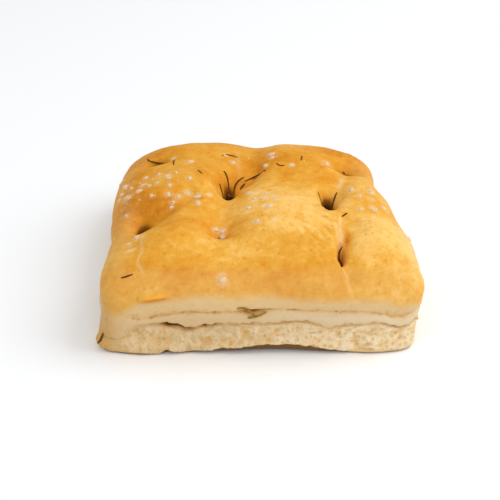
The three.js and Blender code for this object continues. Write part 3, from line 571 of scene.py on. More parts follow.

# How brown the crust is: clouds (more or less, cell, seed), and spots (x, y, half width and length, turn
# in degrees, more or less). The spots also paint light and shade: darker on the left side and the lower
# front, which face away from the light, paler on the front pillow's top and the right side, where the light
# falls.
# The wrinkles get painted shade in their hollows and painted light on their ridges
MIDDLE_BROWN, WRINKLE_LIGHT_AND_SHADE = 0.4, 0.22
BROWN_CLOUDS = [(0.12, 11.0, 31), (0.1, 5.0, 32), (0.08, 2.2, 33)]
BROWN_LIGHT_AND_SHADE_SPOTS = [
    (-46, 42, 22, 14, -20, 0.28), (-20, 54, 26, 8, 0, 0.3), (44, 42, 12, 12, 0, 0.25),
    (-54, 4, 7, 24, 0, 0.4), (-42, -8, 12, 10, 0, 0.38), (-34, -28, 13, 11, 0, 0.05),
    (22, -46, 12, 7, 0, 0.06), (48, -46, 9, 9, 0, 0.15), (27, 12, 7, 9, 0, 0.25), (-24, 14, 8, 6, 0, 0.2),
    (-10, 16, 7, 6, 0, 0.3), (56, 16, 7, 20, 0, 0.2), (10, -18, 17, 16, 0, -0.34), (45, 6, 8, 10, 0, -0.16),
    (-16, -26, 6, 8, 0, 0.1), (28, 42, 12, 10, 0, 0.2), (-24.9, -5.5, 1.7, 1.1, 0, 0.9),
    (46, -36, 14, 16, 0, -0.36), (60, -32, 6, 24, 0, -0.22), (16, 30, 20, 14, 0, 0.12),
    (-10, 30, 10, 16, 0, 0.12), (-8, -2, 2.2, 4.5, 0, 0.35), (8, 24, 12, 9, 0, 0.2),
    (-30, -27, 16, 7, 0, 0.15), (-45, -11, 9, 7, 0, 0.1), (32.8, -34, 1.3, 5, 0, 0.8),
    (-40, -53, 18, 6, 0, 0.18), (4, -56, 30, 5, 0, 0.28),
]
brown_light_and_shade = MIDDLE_BROWN + clouds(points, BROWN_CLOUDS) - WRINKLE_LIGHT_AND_SHADE * wrinkles + spots(points, BROWN_LIGHT_AND_SHADE_SPOTS)

# Where the crust cracked open as it rose, pale dough shows: x, y, half width and length, turn, strength.
# It shows in the crease too, and along the slot's right side and its end (strength, y behind and in front)
CRACKS = [
    (33.6, 13, 1.2, 7.0, -14, 0.55), (-9.5, 30, 1.2, 10.0, 4, 0.25), (-5.8, 7.5, 0.9, 6.5, -51, 0.5),
]
CREASE_SHARE, CRACK_CLOUD = 0.36, (0.5, 1.6, 34)
SLOT_SIDE, SLOT_END = (0.68, -17.5, -41.0), (0.36, -50.0, -62.0)
SLOT_OPENS = (-17.0, -18.0)                   # its pale side widens from this y forward, over this reach
SIDE_LEAST, SIDE_MORE = (0.65, 0.55), (0.45, 0.7)            # how far off the slot, and half width
END_BAND = (0.8, 0.6)                         # the same of its pale end
SOFT_BEHIND, SOFT_IN_FRONT = -3.0, 4.0        # how far each strength fades at its two ends


def stretch(y, much, behind, in_front):
    """A strength between two places along the loaf, with soft ends."""
    return much * rising(y, behind, SOFT_BEHIND) * rising(y, in_front, SOFT_IN_FRONT)


off_slot = xs - path_x(SLOT_PATH, ys)
opening = rising(ys, *SLOT_OPENS)
side_at, side_width = (least + more * opening for least, more in zip(SIDE_LEAST, SIDE_MORE))
slot_side = bump(off_slot, side_at, side_width) * stretch(ys, *SLOT_SIDE)
slot_end = bump(off_slot, *END_BAND) * stretch(ys, *SLOT_END)
crack = [much * spot(points, *place_and_size) for *place_and_size, much in CRACKS]
crack = np.maximum.reduce([*crack, slot_side * (~on_side), slot_end * (~on_side), CREASE_SHARE * creased])
crack = np.clip(crack * (1 + clouds(points, [CRACK_CLOUD])), 0, 1)

# Painted shade darkens the dimples from a depth on, together with the browning of the oil and baked-out
# juice that pooled there, and the shallow ones at these places (x, y, half width and length, turn, strength).
# The gaps in the wall get painted shade too, by their depth
SHADE_FROM_DEPTH = (3.0, 5.5)
SHADED_DIMPLES = [(-44.0, 33.5, 4.0, 1.8, 0, 0.45), (36.5, 29.0, 2.5, 1.6, 0, 0.3), (29.8, -43.0, 1.6, 5.5, 0, 0.16),
          (-16.2, -28.5, 1.0, 2.0, 0, 0.35), (27.8, 0.8, 3.2, 3.0, 0, 0.32), (-13.7, 13.6, 3.0, 2.6, 0, 0.3)]
GAP_SHADE, GAP_DEEP = 0.75, 2.5
shade_and_oil = rising(pit_depth(xs, ys), *SHADE_FROM_DEPTH) + spots(points, SHADED_DIMPLES)
gap_shade = np.clip(gaps_inset(level, place) / GAP_DEEP, 0, 1)

# The upper split is browned in a ragged line and in its pits, which also get painted shade; the lower one
# has a line of painted shade a little below it, under the lip's edge, with some browning. Both lines come and
# go (strength, half width, pace, start). The untorn corner has short dashes instead
PITS_BROWN_AND_SHADE, RAGGED, RAGGED_CLOUD = 0.9, 0.6, (0.6, 1.4, 38)
UPPER_LINE, UPPER_LEAST = (0.6, 0.6, 0.37, 2.0), 0.3
LOWER_LINE, LOWER_LINE_DROP = (0.6, 0.5, 0.53, 3.0), 0.5
UNBROWNED, UNBROWNED_SHARE = (-56, 9), 0.9
DASHES, DASH_STRETCH, DASH_FROM, DASH_BROWN = (1.0, 39), (1.0, 1.0, 0.4), (0.5, 0.2), 0.5
ragged = RAGGED + clouds(points, [RAGGED_CLOUD])
much, width, pace, start = UPPER_LINE
upper_line = bump(level, UPPER_SPLIT[0], width) * ragged * (UPPER_LEAST + much * uneven(place, pace, start))
much, width, pace, start = LOWER_LINE
shade_line_under_lip = much * bump(level, LOWER_SPLIT[0] - LOWER_LINE_DROP, width) * uneven(place, pace, start)
split = PITS_BROWN_AND_SHADE * pits + upper_line + shade_line_under_lip
split = split * (1 - UNBROWNED_SHARE * returning_bump(place, *UNBROWNED))
split = split + DASH_BROWN * rising(cloud(points * DASH_STRETCH, *DASHES), *DASH_FROM) * whole

# The front left corner is toasted below a height, and the dough gets painted light that grows from the left
# to the right
TOASTED, TOAST_AT, TOAST_BELOW = 0.9, (-59, 5), (30.0, -6.0)
CORNER_FROM, PAINTED_LIGHT_ACROSS = (-40.0, -12.0), (-28.0, 72.0)
front_left = rising(xs, *CORNER_FROM) * rising(ys, *CORNER_FROM)
toast = TOASTED * front_left * returning_bump(place, *TOAST_AT) * rising(zs, *TOAST_BELOW)

# The hollows of the crumb get painted shade by their depth, and its pores, painted shade in the material
# too, show more where it is open
HOLLOW_LEAST, HOLLOW_SHADE, PORES_LEAST, PORES_MORE = 0.1, 0.7, 0.6, 0.4


def paint(piece, name, values):
    """Keeps one number for each corner of the mesh, for the material to read."""
    layer = piece.data.attributes.new(name, "FLOAT", "POINT")
    layer.data.foreach_set("value", values.astype(np.float32))


# Some layers carry painted light and shade: the crust's browning, the darkening of the dimples and gaps, the
# crumb's hollows, the fold's foot, the splits, the sole's recess and the light across the dough
layers = {
    "brown_light_and_shade": np.clip(brown_light_and_shade, 0, 1), "crumb": crumb, "lip": on_lip, "torn": on_crumb,
    "painted_light": rising(xs, *PAINTED_LIGHT_ACROSS), "toast": toast,
    "hollow": np.clip(HOLLOW_LEAST - HOLLOW_SHADE * lumps, 0, 1) * on_crumb,
    "open": on_crumb * (PORES_LEAST + PORES_MORE * open_crumb),
    "crack": crack, "shade_and_oil": np.where(on_side, GAP_SHADE * gap_shade, np.clip(shade_and_oil, 0, 1)),
    "fold": under_fold, "fold_top": on_fold, "split": np.clip(split * on_side, 0, 1), "sole": sole,
}
for name, values in layers.items():
    paint(loaf, name, values)


def linear(red, green, blue):
    """A colour as a screen shows it, 0 to 255, to the numbers that a shader takes."""
    share = np.array([red, green, blue]) / 255.0
    low, high = share / 12.92, ((share + 0.055) / 1.055) ** 2.4
    return tuple(np.where(share <= 0.04045, low, high)) + (1.0,)


def read(tree, name):
    """A node that reads one painted number."""
    node = tree.nodes.new("ShaderNodeAttribute")
    node.attribute_name = name
    return node.outputs["Fac"]


def feed(tree, socket, value):
    """Sets a socket to a number or a colour, or links another node's output to it."""
    if isinstance(value, (int, float, tuple)):
        socket.default_value = value
    else:
        tree.links.new(value, socket)


def mixed(tree, share, first_colour, second_colour):
    """A node that mixes two colours, each a colour or another node's output."""
    node = tree.nodes.new("ShaderNodeMix")
    node.data_type = "RGBA"
    feed(tree, node.inputs["Factor"], share)
    feed(tree, node.inputs["A"], first_colour)
    feed(tree, node.inputs["B"], second_colour)
    return node.outputs["Result"]


def coated(tree, colour, *coats):
    """A colour with others laid over it in turn: the share and the colour of each."""
    for share, coat in coats:
        colour = mixed(tree, share, colour, coat)
    return colour


def ramp(tree, share, *stops):
    """A node that turns a number into a colour through stops: place and colour of each."""
    node = tree.nodes.new("ShaderNodeValToRGB")
    elements = node.color_ramp.elements
    while len(elements) < len(stops):
        elements.new(0.5)
    for element, (at, colour) in zip(elements, stops):
        element.position = at
        element.color = colour
    feed(tree, node.inputs["Fac"], share)
    return node.outputs["Color"]


def mottle_group():
    """The group that mottles the crust, the salt and the needles: noise at a stretched place, with its
    features in a metre, its detail and its roughness."""
    group = bpy.data.node_groups.new("mottle", "ShaderNodeTree")
    for name, kind in (("Place", "Vector"), ("Stretch", "Vector"), ("Scale", "Float"), ("Detail", "Float"),
                       ("Roughness", "Float")):
        group.interface.new_socket(name, in_out="INPUT", socket_type="NodeSocket" + kind)
    group.interface.new_socket("Mottle", in_out="OUTPUT", socket_type="NodeSocketFloat")
    given, result = group.nodes.new("NodeGroupInput"), group.nodes.new("NodeGroupOutput")
    mapping, texture = group.nodes.new("ShaderNodeMapping"), group.nodes.new("ShaderNodeTexNoise")
    group.links.new(given.outputs["Place"], mapping.inputs["Vector"])
    group.links.new(given.outputs["Stretch"], mapping.inputs["Scale"])
    group.links.new(mapping.outputs["Vector"], texture.inputs["Vector"])
    for name in ("Scale", "Detail", "Roughness"):
        group.links.new(given.outputs[name], texture.inputs[name])
    group.links.new(texture.outputs["Fac"], result.inputs["Mottle"])
    return group


mottling = mottle_group()


def noise(tree, scale, detail=3.0, rough=0.55, stretch=(1.0, 1.0, 1.0)):
    """The mottle group placed in a material with its own values, on the piece's own metres."""
    node = tree.nodes.new("ShaderNodeGroup")
    node.node_tree = mottling
    for name, value in (("Stretch", stretch), ("Scale", scale), ("Detail", detail), ("Roughness", rough)):
        node.inputs[name].default_value = value
    coordinates = tree.nodes.new("ShaderNodeTexCoord")
    tree.links.new(coordinates.outputs["Object"], node.inputs["Place"])
    return node.outputs["Mottle"]


def worked(tree, operation, *values):
    """A node that works on numbers, each a number or another node's output."""
    node = tree.nodes.new("ShaderNodeMath")
    node.operation = operation
    for socket, value in zip(node.inputs, values):
        feed(tree, socket, value)
    return node.outputs[0]


def times(tree, value, factor):
    """A node that multiplies."""
    return worked(tree, "MULTIPLY", value, factor)


def summed(tree, value, *others):
    """Nodes that add numbers in turn."""
    for other in others:
        value = worked(tree, "ADD", value, other)
    return value


def ranged(tree, value, low, high, to_low=0.0, to_high=1.0):
    """A node that moves a number from one range to another, clamped."""
    node = tree.nodes.new("ShaderNodeMapRange")
    for name, number in (("From Min", low), ("From Max", high), ("To Min", to_low), ("To Max", to_high)):
        node.inputs[name].default_value = number
    feed(tree, node.inputs["Value"], value)
    return node.outputs["Result"]


def pores(tree, scale, fewest, widest):
    """Round pores, one in some of the cells of a scattering, 1 inside and 0 outside: the share of cells
    without one, and the radius of the widest in cells."""
    coordinates = tree.nodes.new("ShaderNodeTexCoord")
    cells = tree.nodes.new("ShaderNodeTexVoronoi")
    cells.inputs["Scale"].default_value = scale
    tree.links.new(coordinates.outputs["Object"], cells.inputs["Vector"])
    parts = tree.nodes.new("ShaderNodeSeparateColor")
    tree.links.new(cells.outputs["Color"], parts.inputs["Color"])
    radius = ranged(tree, parts.outputs["Red"], fewest, 1.0, 0.0, widest)
    return ranged(tree, worked(tree, "SUBTRACT", radius, cells.outputs["Distance"]), -0.04, 0.1)


# The crust's colours from pale to brown, with its freckles and the patches that brine left
PALE_GOLD, GOLD, DEEP_GOLD = linear(247, 198, 111), linear(230, 168, 63), linear(219, 144, 36)
BROWN, RED_BROWN, FROST = linear(188, 114, 30), linear(220, 126, 24), linear(238, 206, 155)
# The fold's foot, browned with painted shade, and its golden top
FOLD_FOOT_SHADE_GOLD, FOLD_TOP = linear(214, 136, 28), linear(240, 172, 60)
# The pale dough and the torn crumb: the darker colour of each, and what it is where it catches more light
TAN, LIGHT_TAN = linear(224, 192, 141), linear(223, 191, 141)
LIP_TAN, LIP_CREAM = linear(215, 185, 140), linear(225, 203, 167)
CREAM, CREAM_SHADE, LIGHT_CREAM = linear(230, 207, 168), linear(210, 181, 133), linear(248, 229, 192)
# The colour of the painted shade in the crumb's hollows and pores, also the dough's mottle; and golden flecks
HOLLOW_SHADE_AND_MOTTLE_TAN, FLECK_GOLD = linear(222, 172, 92), linear(214, 156, 66)
CRACK_CREAM, TOAST = linear(234, 206, 150), linear(202, 156, 88)
# The splits' browning with their painted shade, also laid in the crumb's pinholes as painted shade; and the
# sole's brown, which is painted higher up the recess under the arch as painted shade
SPLIT_BROWN_AND_SHADE, SOLE_BROWN_AND_SHADE = linear(198, 146, 76), linear(128, 94, 58)
# The painted shade of the dimples and the wall's gaps, with the oil's browning, from golden to dark brown
OIL_AND_SHADE_GOLD, OIL_AND_SHADE_BROWN, DEEPEST_SHADE_BROWN = linear(214, 144, 34), linear(138, 82, 12), linear(60, 32, 5)
# Its fine patterns: scale in features to a metre, detail, roughness, and how one is stretched. Its pores:
# scale, the share of cells without one, and the radius of the widest. Then the depth of each in the bump
GRAIN, FINE, BLOTCH, FRECKLE = (1100.0, 4.0, 0.6), (1150.0, 4.0, 0.6), (380.0, 5.0, 0.68), (330.0, 2.0, 0.5)
STRANDS, FLECK = (420.0, 3.0, 0.6, (1.0, 1.0, 0.6)), (800.0, 3.0, 0.6)
SKIN_PORES, CRUMB_PORES, PINHOLES = (420.0, 0.72, 0.34), (560.0, 0.35, 0.5), (640.0, 0.7, 0.3)
GRAIN_DEPTH, CRUMB_PORE_DEPTH, SKIN_PORE_DEPTH, PINHOLE_DEPTH = 0.28, 0.6, 0.15, 0.3
BUMP_SHARE, BUMP_DEPTH = 0.7, 0.9
CRUST_ROUGH, CRUMB_ROUGH = 0.58, 0.85

bread = bpy.data.materials.new("baked_bread")
bread.use_nodes = True
tree = bread.node_tree
shader = tree.nodes["Principled BSDF"]
painted = {name: read(tree, name) for name in [*layers, "frost"]}
painted_light = painted["painted_light"]
fine, blotch, freckle = noise(tree, *FINE), noise(tree, *BLOTCH), noise(tree, *FRECKLE)
strands, fleck = noise(tree, *STRANDS), noise(tree, *FLECK)
skin_pore = pores(tree, *SKIN_PORES)
crumb_pore = times(tree, pores(tree, *CRUMB_PORES), painted["open"])
pinhole = times(tree, pores(tree, *PINHOLES), painted["torn"])

# How brown the crust is, with the painted light and shade of its spots and wrinkles, and the mottling
browning_light_and_shade = summed(tree, painted["brown_light_and_shade"], ranged(tree, blotch, 0.3, 0.7, -0.12, 0.12),
                  ranged(tree, fine, 0.3, 0.7, -0.07, 0.07), times(tree, skin_pore, 0.12))
golden = ramp(tree, browning_light_and_shade, (0.1, PALE_GOLD), (0.4, GOLD), (0.7, DEEP_GOLD), (1.0, BROWN))
golden = coated(tree, golden, (ranged(tree, freckle, 0.62, 0.74, 0.0, 0.55), RED_BROWN),
                (painted["frost"], FROST))
# The pale dough, with painted light that grows to the right
dough = coated(tree, mixed(tree, painted_light, TAN, LIGHT_TAN),
               (ranged(tree, blotch, 0.35, 0.7, 0.0, 0.22), HOLLOW_SHADE_AND_MOTTLE_TAN))
# The torn crumb, with painted light where it catches more light, and painted shade in its hollows and pores
cream = coated(tree, mixed(tree, ranged(tree, strands, 0.35, 0.65), CREAM, CREAM_SHADE),
               (times(tree, painted_light, 0.75), LIGHT_CREAM), (painted["hollow"], HOLLOW_SHADE_AND_MOTTLE_TAN),
               (times(tree, crumb_pore, 0.4), HOLLOW_SHADE_AND_MOTTLE_TAN))
flecked = summed(tree, times(tree, painted["torn"], 0.5), times(tree, painted["crumb"], 0.2))
# The painted shade of the dimples and gaps, with the oil's browning
shade_and_oil_colour = ramp(tree, painted["shade_and_oil"], (0.0, OIL_AND_SHADE_GOLD), (0.45, OIL_AND_SHADE_BROWN), (0.9, DEEPEST_SHADE_BROWN))
# Everything on the dough, from the bottom up; the coats include painted light across the dough and painted
# shade at the fold's foot, in the pinholes, the dimples and gaps, the splits and the sole's recess
colour = coated(
    tree, golden,
    (painted["crumb"], dough), (painted["fold_top"], FOLD_TOP), (painted["fold"], FOLD_FOOT_SHADE_GOLD),
    (painted["lip"], mixed(tree, painted_light, LIP_TAN, LIP_CREAM)), (painted["torn"], cream),
    (times(tree, pinhole, 0.25), SPLIT_BROWN_AND_SHADE),
    (times(tree, ranged(tree, fleck, 0.55, 0.7), flecked), FLECK_GOLD),
    (painted["toast"], TOAST), (painted["crack"], CRACK_CREAM),
    (ranged(tree, painted["shade_and_oil"], 0.0, 0.4), shade_and_oil_colour), (painted["split"], SPLIT_BROWN_AND_SHADE),
    (painted["sole"], SOLE_BROWN_AND_SHADE),
)
tree.links.new(colour, shader.inputs["Base Color"])
rough = summed(tree, ranged(tree, painted["crumb"], 0.0, 1.0, CRUST_ROUGH, CRUMB_ROUGH),
               ranged(tree, fine, 0.3, 0.7, -0.08, 0.08))
tree.links.new(rough, shader.inputs["Roughness"])
shader.inputs["Subsurface Weight"].default_value = 0.1
shader.inputs["Subsurface Radius"].default_value = (1.0, 0.7, 0.45)
shader.inputs["Subsurface Scale"].default_value = 1.2 * MM
shader.inputs["Specular IOR Level"].default_value = 0.05
height = times(tree, noise(tree, *GRAIN), GRAIN_DEPTH)
for dent, depth in ((crumb_pore, CRUMB_PORE_DEPTH), (skin_pore, SKIN_PORE_DEPTH), (pinhole, PINHOLE_DEPTH)):
    height = worked(tree, "SUBTRACT", height, times(tree, dent, depth))
bump_node = tree.nodes.new("ShaderNodeBump")
bump_node.inputs["Strength"].default_value = BUMP_SHARE
bump_node.inputs["Distance"].default_value = BUMP_DEPTH * MM
tree.links.new(height, bump_node.inputs["Height"])
tree.links.new(bump_node.outputs["Normal"], shader.inputs["Normal"])
loaf.data.materials.append(bread)
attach(loaf, "root")
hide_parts("focaccia")

# The salt: coarse sea salt, strewn by hand before baking and sunk a little into the oiled dough,
# mostly over the left pillows. Cloudy, broken crystals.
SALT_PATCHES = [                              # x, y, radius across and along, turn, number of grains
    (-39, 3, 20, 11, -38, 21), (-57, 12, 3.5, 22, 8, 8), (-16, -25, 3, 3.5, 0, 3), (0, -13, 8, 16, 0, 8),
    (43, -6, 8, 10, 0, 7), (58, -24, 2.5, 13, 0, 4), (-2, 27, 38, 9, 0, 8), (-49, -34, 3, 8, 0, 2),
    (-15, -57, 1, 1, 0, 1),
]
GRAIN_SIZE, GRAIN_SPREAD, GRAIN_SINK = 3.8, 0.5, 0.17        # the largest, then shares of the size
DUST_SHARE, DUST_SIZE = 0.7, 1.5              # fine grains to each coarse one, and their size
DUST_SEED, PATCH_SEED = 1000, 40              # the first seed of the fine grains, and from patch to patch
GOLDEN_ANGLE = 2.399963
DRAW_PACE = (12.9898, 78.233)                 # of the scattering sine for each draw and each seed
FACES_CUT = 8                                 # the slanted faces that bound a crystal
FACE_TURN = 0.618                             # of a turn from one of them to the next
LEAST_FACING, WIDEST_CORNER = 0.15, 1.25      # a face cuts what points its way at least so much
FACE_LOOSE, HEIGHT_LOOSE, FACE_NEAREST = 0.7, 0.35, 0.75     # how far its turn, height and distance vary
FLATTEST, THINNEST, SQUASH_SPREAD = 0.75, 0.6, 0.25          # shares of a crystal's length
LONGITUDES, LATITUDES = 7, 5
SPIRAL_START, SPIRAL_LEAST, SPIRAL_SPREAD = 0.3, 0.85, 0.3   # of a patch's spiral, and its disorder
SEARCH_STEPS, SEARCH_SHARE = 30, 0.8          # towards a place, and the share of the rest in each
TANGENT_STEP = 0.01                           # of the grid place


def draw(seed, index):
    """A scattered share for a grain's seed and the number of the draw."""
    return scattered(index * DRAW_PACE[0] + seed * DRAW_PACE[1])


def strewn(share, size, first_seed):
    """Sunflower spirals of grains with a little disorder, patch by patch: x, y, size and seed of each."""
    rows = []
    for patch, (x, y, wide, long, degrees, count) in enumerate(SALT_PATCHES):
        number = int(round(count * share))
        i = np.arange(number)
        seed = first_seed + patch * PATCH_SEED + i
        reach = np.sqrt((i + SPIRAL_START) / max(number, 1)) * (SPIRAL_LEAST + SPIRAL_SPREAD * draw(seed, 4))
        angle = GOLDEN_ANGLE * i + draw(seed, 5)
        u, v = wide * reach * np.cos(angle), long * reach * np.sin(angle)
        c, s = math.cos(math.radians(degrees)), math.sin(math.radians(degrees))
        grain = size * (1 - GRAIN_SPREAD * draw(seed, 6))
        rows.append(np.stack([x + u * c - v * s, y + u * s + v * c, grain, seed], -1))
    return np.concatenate(rows)


def unit(vectors):
    """Vectors of length 1: each divided by its own length."""
    return vectors / np.linalg.norm(vectors, axis=-1, keepdims=True)


def crust_at(x, y):
    """The crust above places in the plan: points, normals and two tangents, in the grid's own millimetres.
    The grid place is found by stepping towards the wanted one."""
    a, b = x / HALF_WIDTH, y / HALF_LENGTH
    for _ in range(SEARCH_STEPS):
        p = crust(a, b)
        a = np.clip(a + SEARCH_SHARE * (x - p[..., 0]) / HALF_WIDTH, -1, 1)
        b = np.clip(b + SEARCH_SHARE * (y - p[..., 1]) / HALF_LENGTH, -1, 1)
    side = unit(crust(a + TANGENT_STEP, b) - crust(a - TANGENT_STEP, b))
    normal = unit(np.cross(side, crust(a, b + TANGENT_STEP) - crust(a, b - TANGENT_STEP)))
    return crust(a, b), normal, side, np.cross(normal, side)


def crystal_ball():
    """The directions and the faces of a ball of rings: one corner at the top, one at the bottom."""
    theta = np.linspace(0, 2 * np.pi, LONGITUDES, endpoint=False)
    phi = np.linspace(0, np.pi, LATITUDES + 2)[1:-1, None]
    rings = [np.sin(phi) * np.cos(theta), np.sin(phi) * np.sin(theta), np.cos(phi) + 0 * theta]
    directions = np.concatenate([[[0, 0, 1.0]], np.stack(rings, -1).reshape(-1, 3), [[0, 0, -1.0]]])
    start = 1 + np.arange(LATITUDES - 1)[:, None] * LONGITUDES
    k = np.arange(LONGITUDES)
    n = (k + 1) % LONGITUDES
    left, right = start + k, start + n
    quads = np.stack([left, left + LONGITUDES, right + LONGITUDES, right], -1).reshape(-1, 4)
    last = len(directions) - 1
    caps = [np.stack([0 * k, 1 + k, 1 + n], -1),
            np.stack([0 * k + last, last - LONGITUDES + n, last - LONGITUDES + k], -1)]
    return directions, quads, np.concatenate(caps)


def broken_crystals(directions, grains):
    """Every grain is the ball's directions pushed out to the nearest of eight slanted faces, then squashed,
    turned and set on the crust."""
    size, seed = grains[:, 2], grains[:, 3]
    k = np.arange(FACES_CUT)[None]
    turn = 2 * np.pi * (k * FACE_TURN + FACE_LOOSE * draw(seed[:, None], 20 + k))
    rise = (2 * (k + 0.5) / FACES_CUT - 1) + HEIGHT_LOOSE * (draw(seed[:, None], 40 + k) - 0.5)
    rise = np.clip(rise, -1, 1)
    flat = np.sqrt(1 - rise**2)
    facing = np.stack([flat * np.cos(turn), flat * np.sin(turn), rise], -1)
    reach = FACE_NEAREST + (1 - FACE_NEAREST) * draw(seed[:, None], 60 + k)
    toward = np.einsum("vc,gkc->gvk", directions, facing)
    cut = np.where(toward > LEAST_FACING, reach[:, None] / np.maximum(toward, LEAST_FACING), np.inf)
    radius = np.minimum(np.min(cut, -1), WIDEST_CORNER)
    width = FLATTEST + SQUASH_SPREAD * draw(seed, 1)
    height = THINNEST + SQUASH_SPREAD * draw(seed, 2)
    squash = np.stack([np.ones_like(seed), width, height], -1)
    shape = directions[None] * radius[..., None] * 0.5 * squash[:, None] * size[:, None, None]
    yaw = 2 * np.pi * draw(seed, 3)[:, None]
    x = shape[..., 0] * np.cos(yaw) - shape[..., 1] * np.sin(yaw)
    y = shape[..., 0] * np.sin(yaw) + shape[..., 1] * np.cos(yaw)
    point, normal, side, ahead = crust_at(grains[:, 0], grains[:, 1])
    middle = point - normal * (GRAIN_SINK * size)[:, None]
    return middle[:, None] + x[..., None] * side[:, None] + y[..., None] * ahead[:, None] \
        + shape[..., 2:] * normal[:, None]


def many(name, shapes, quads, triangles):
    """One mesh object of many shapes that have the same faces."""
    offset = np.arange(len(shapes))[:, None, None] * shapes.shape[1]
    return mesh_object(name, shapes.reshape(-1, 3) - loaf_middle, (quads[None] + offset).reshape(-1, 4),
                       (triangles[None] + offset).reshape(-1, 3))


coarse = strewn(1.0, GRAIN_SIZE, 0)
directions, ball_quads, ball_caps = crystal_ball()
crystals = broken_crystals(directions, np.concatenate([coarse, strewn(DUST_SHARE, DUST_SIZE, DUST_SEED)]))
salt = many("salt", crystals, ball_quads, ball_caps)
salt.data.polygons.foreach_set("use_smooth", np.zeros(len(salt.data.polygons), bool))

# The brine of each coarse grain left a pale, glassy patch on the crust, and some grains melted away:
# x, y and radius of their patches. A patch is stronger where its grain melted
MELTED = [(-2.6, -11.3, 1.7), (5.0, -28.4, 1.5), (1.0, -18.0, 1.6), (-49.3, -41.0, 2.2), (-2.0, -3.0, 1.8),
          (4.5, -9.0, 1.3), (-21.0, -2.5, 1.6), (-37.5, 33.0, 1.8), (44.0, -20.0, 1.4)]
BRINE_RADIUS, BRINE_LEAST, BRINE_MORE, MELTED_MUCH = 0.85, 0.1, 0.36, 0.7
BRINE_BORDER, BRINE_EDGE = (0.25, 0.9, 35), (1.1, -0.7)
patches = [(x, y, BRINE_RADIUS * size, BRINE_LEAST + BRINE_MORE * draw(seed, 7))
           for x, y, size, seed in coarse]
patches += [(x, y, radius, MELTED_MUCH) for x, y, radius in MELTED]
border = clouds(points, [BRINE_BORDER])
frost = np.zeros(len(points))
for x, y, radius, much in patches:
    off = np.hypot(xs - x, ys - y) / radius + border
    frost = np.maximum(frost, much * rising(off, *BRINE_EDGE))
paint(loaf, "frost", frost * (~on_side))

SALT_CLEAR, SALT_HAZE = linear(230, 203, 169), linear(218, 180, 134)
cloudy = bpy.data.materials.new("cloudy_salt")
cloudy.use_nodes = True
tree = cloudy.node_tree
shader = tree.nodes["Principled BSDF"]
haze = noise(tree, 1200.0, 3.0)
tree.links.new(mixed(tree, ranged(tree, haze, 0.4, 0.6), SALT_CLEAR, SALT_HAZE), shader.inputs["Base Color"])
tree.links.new(ranged(tree, haze, 0.3, 0.7, 0.25, 0.45), shader.inputs["Roughness"])
shader.inputs["IOR"].default_value = 1.5
shader.inputs["Subsurface Weight"].default_value = 0.5
shader.inputs["Subsurface Radius"].default_value = (1.0, 1.0, 1.0)
shader.inputs["Subsurface Scale"].default_value = 0.7 * MM
salt.data.materials.append(cloudy)
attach(salt, "root")
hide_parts("focaccia")

# The rosemary: single needles stripped from the sprig and pressed into the dough. Baking dried them
# brown, and they curl, with a groove along the middle of each.
NEEDLES = [                                   # x and y of the base, of the middle and of the tip
    (-49.1, 39.3, -47.6, 36.3, -41.9, 33.6), (-36.9, 30.7, -37.0, 26.5, -36.7, 22.4),
    (-16.5, 33.4, -14.1, 35.2, -9.9, 34.4), (-26.2, 14.9, -25.3, 13.4, -24.4, 11.8),
    (-15.5, 20.6, -13.8, 17.0, -13.3, 12.4), (-17.1, 12.6, -16.4, 10.8, -15.2, 8.8),
    (-7.0, 20.5, -10.4, 16.7, -11.0, 13.2), (2.2, 18.1, -1.8, 20.6, -6.5, 19.0),
    (-6.6, 18.0, -7.8, 16.6, -8.5, 15.4), (-14.0, 12.8, -12.9, 13.0, -11.8, 13.3),
    (6.7, 22.2, 8.0, 20.1, 10.0, 19.8), (17.6, 28.0, 17.5, 25.7, 16.9, 23.4),
    (32.3, 29.9, 32.3, 27.0, 32.5, 24.6), (35.7, 31.1, 36.1, 30.9, 36.5, 30.5),
    (23.3, 1.4, 24.0, -1.5, 25.3, -3.2), (31.3, 4.3, 30.1, 1.3, 29.1, -1.4),
    (26.4, 1.2, 26.1, 0.6, 25.8, -0.1), (34.1, -15.8, 33.2, -16.5, 31.9, -18.1),
    (30.8, -37.1, 29.4, -40.0, 30.2, -46.0), (-52.2, -54.8, -50.0, -54.6, -48.0, -54.0),
]
# In the wall: three places of x and level on the front, and of grid place and level at the corner
FRONT_NEEDLES = [[(-10.1, 21.6), (-7.2, 21.4), (-4.0, 18.3)], [(-6.4, 17.5), (-3.2, 17.9), (0.3, 19.0)]]
CORNER_NEEDLE = [(-1.0, -0.972, 14.9), (-1.0, -0.966, 7.6), (-1.0, -0.943, 3.4)]
NEEDLE_WIDTH, NEEDLE_THICKNESS, NEEDLE_TIP = 0.8, 0.55, 0.35        # the tip is a share of the middle
GROOVE_DEPTH, GROOVE_WIDTH = 0.45, 0.5        # a share of the thickness, and an angle
WALL_STAND_OFF, WALL_THICKER = 0.25, 1.25     # those in the wall stand off it, and are thicker
TAPER_FROM, TAPER_SPAN = 0.15, 0.7            # the part of a half sine that a needle tapers as
SIDES, SPANS = 10, 16


def wall_needle(a, b, level):
    """Three points on the wall, moved off it along the outward direction, and that direction."""
    a, b, level = (np.asarray(column, float) for column in (a, b, level))
    _, _, _, nx, ny = plan(a, b)
    out = np.stack([nx, ny, 0 * nx], -1)
    return (*(wall(a, b, level) + out * WALL_STAND_OFF), out[1])


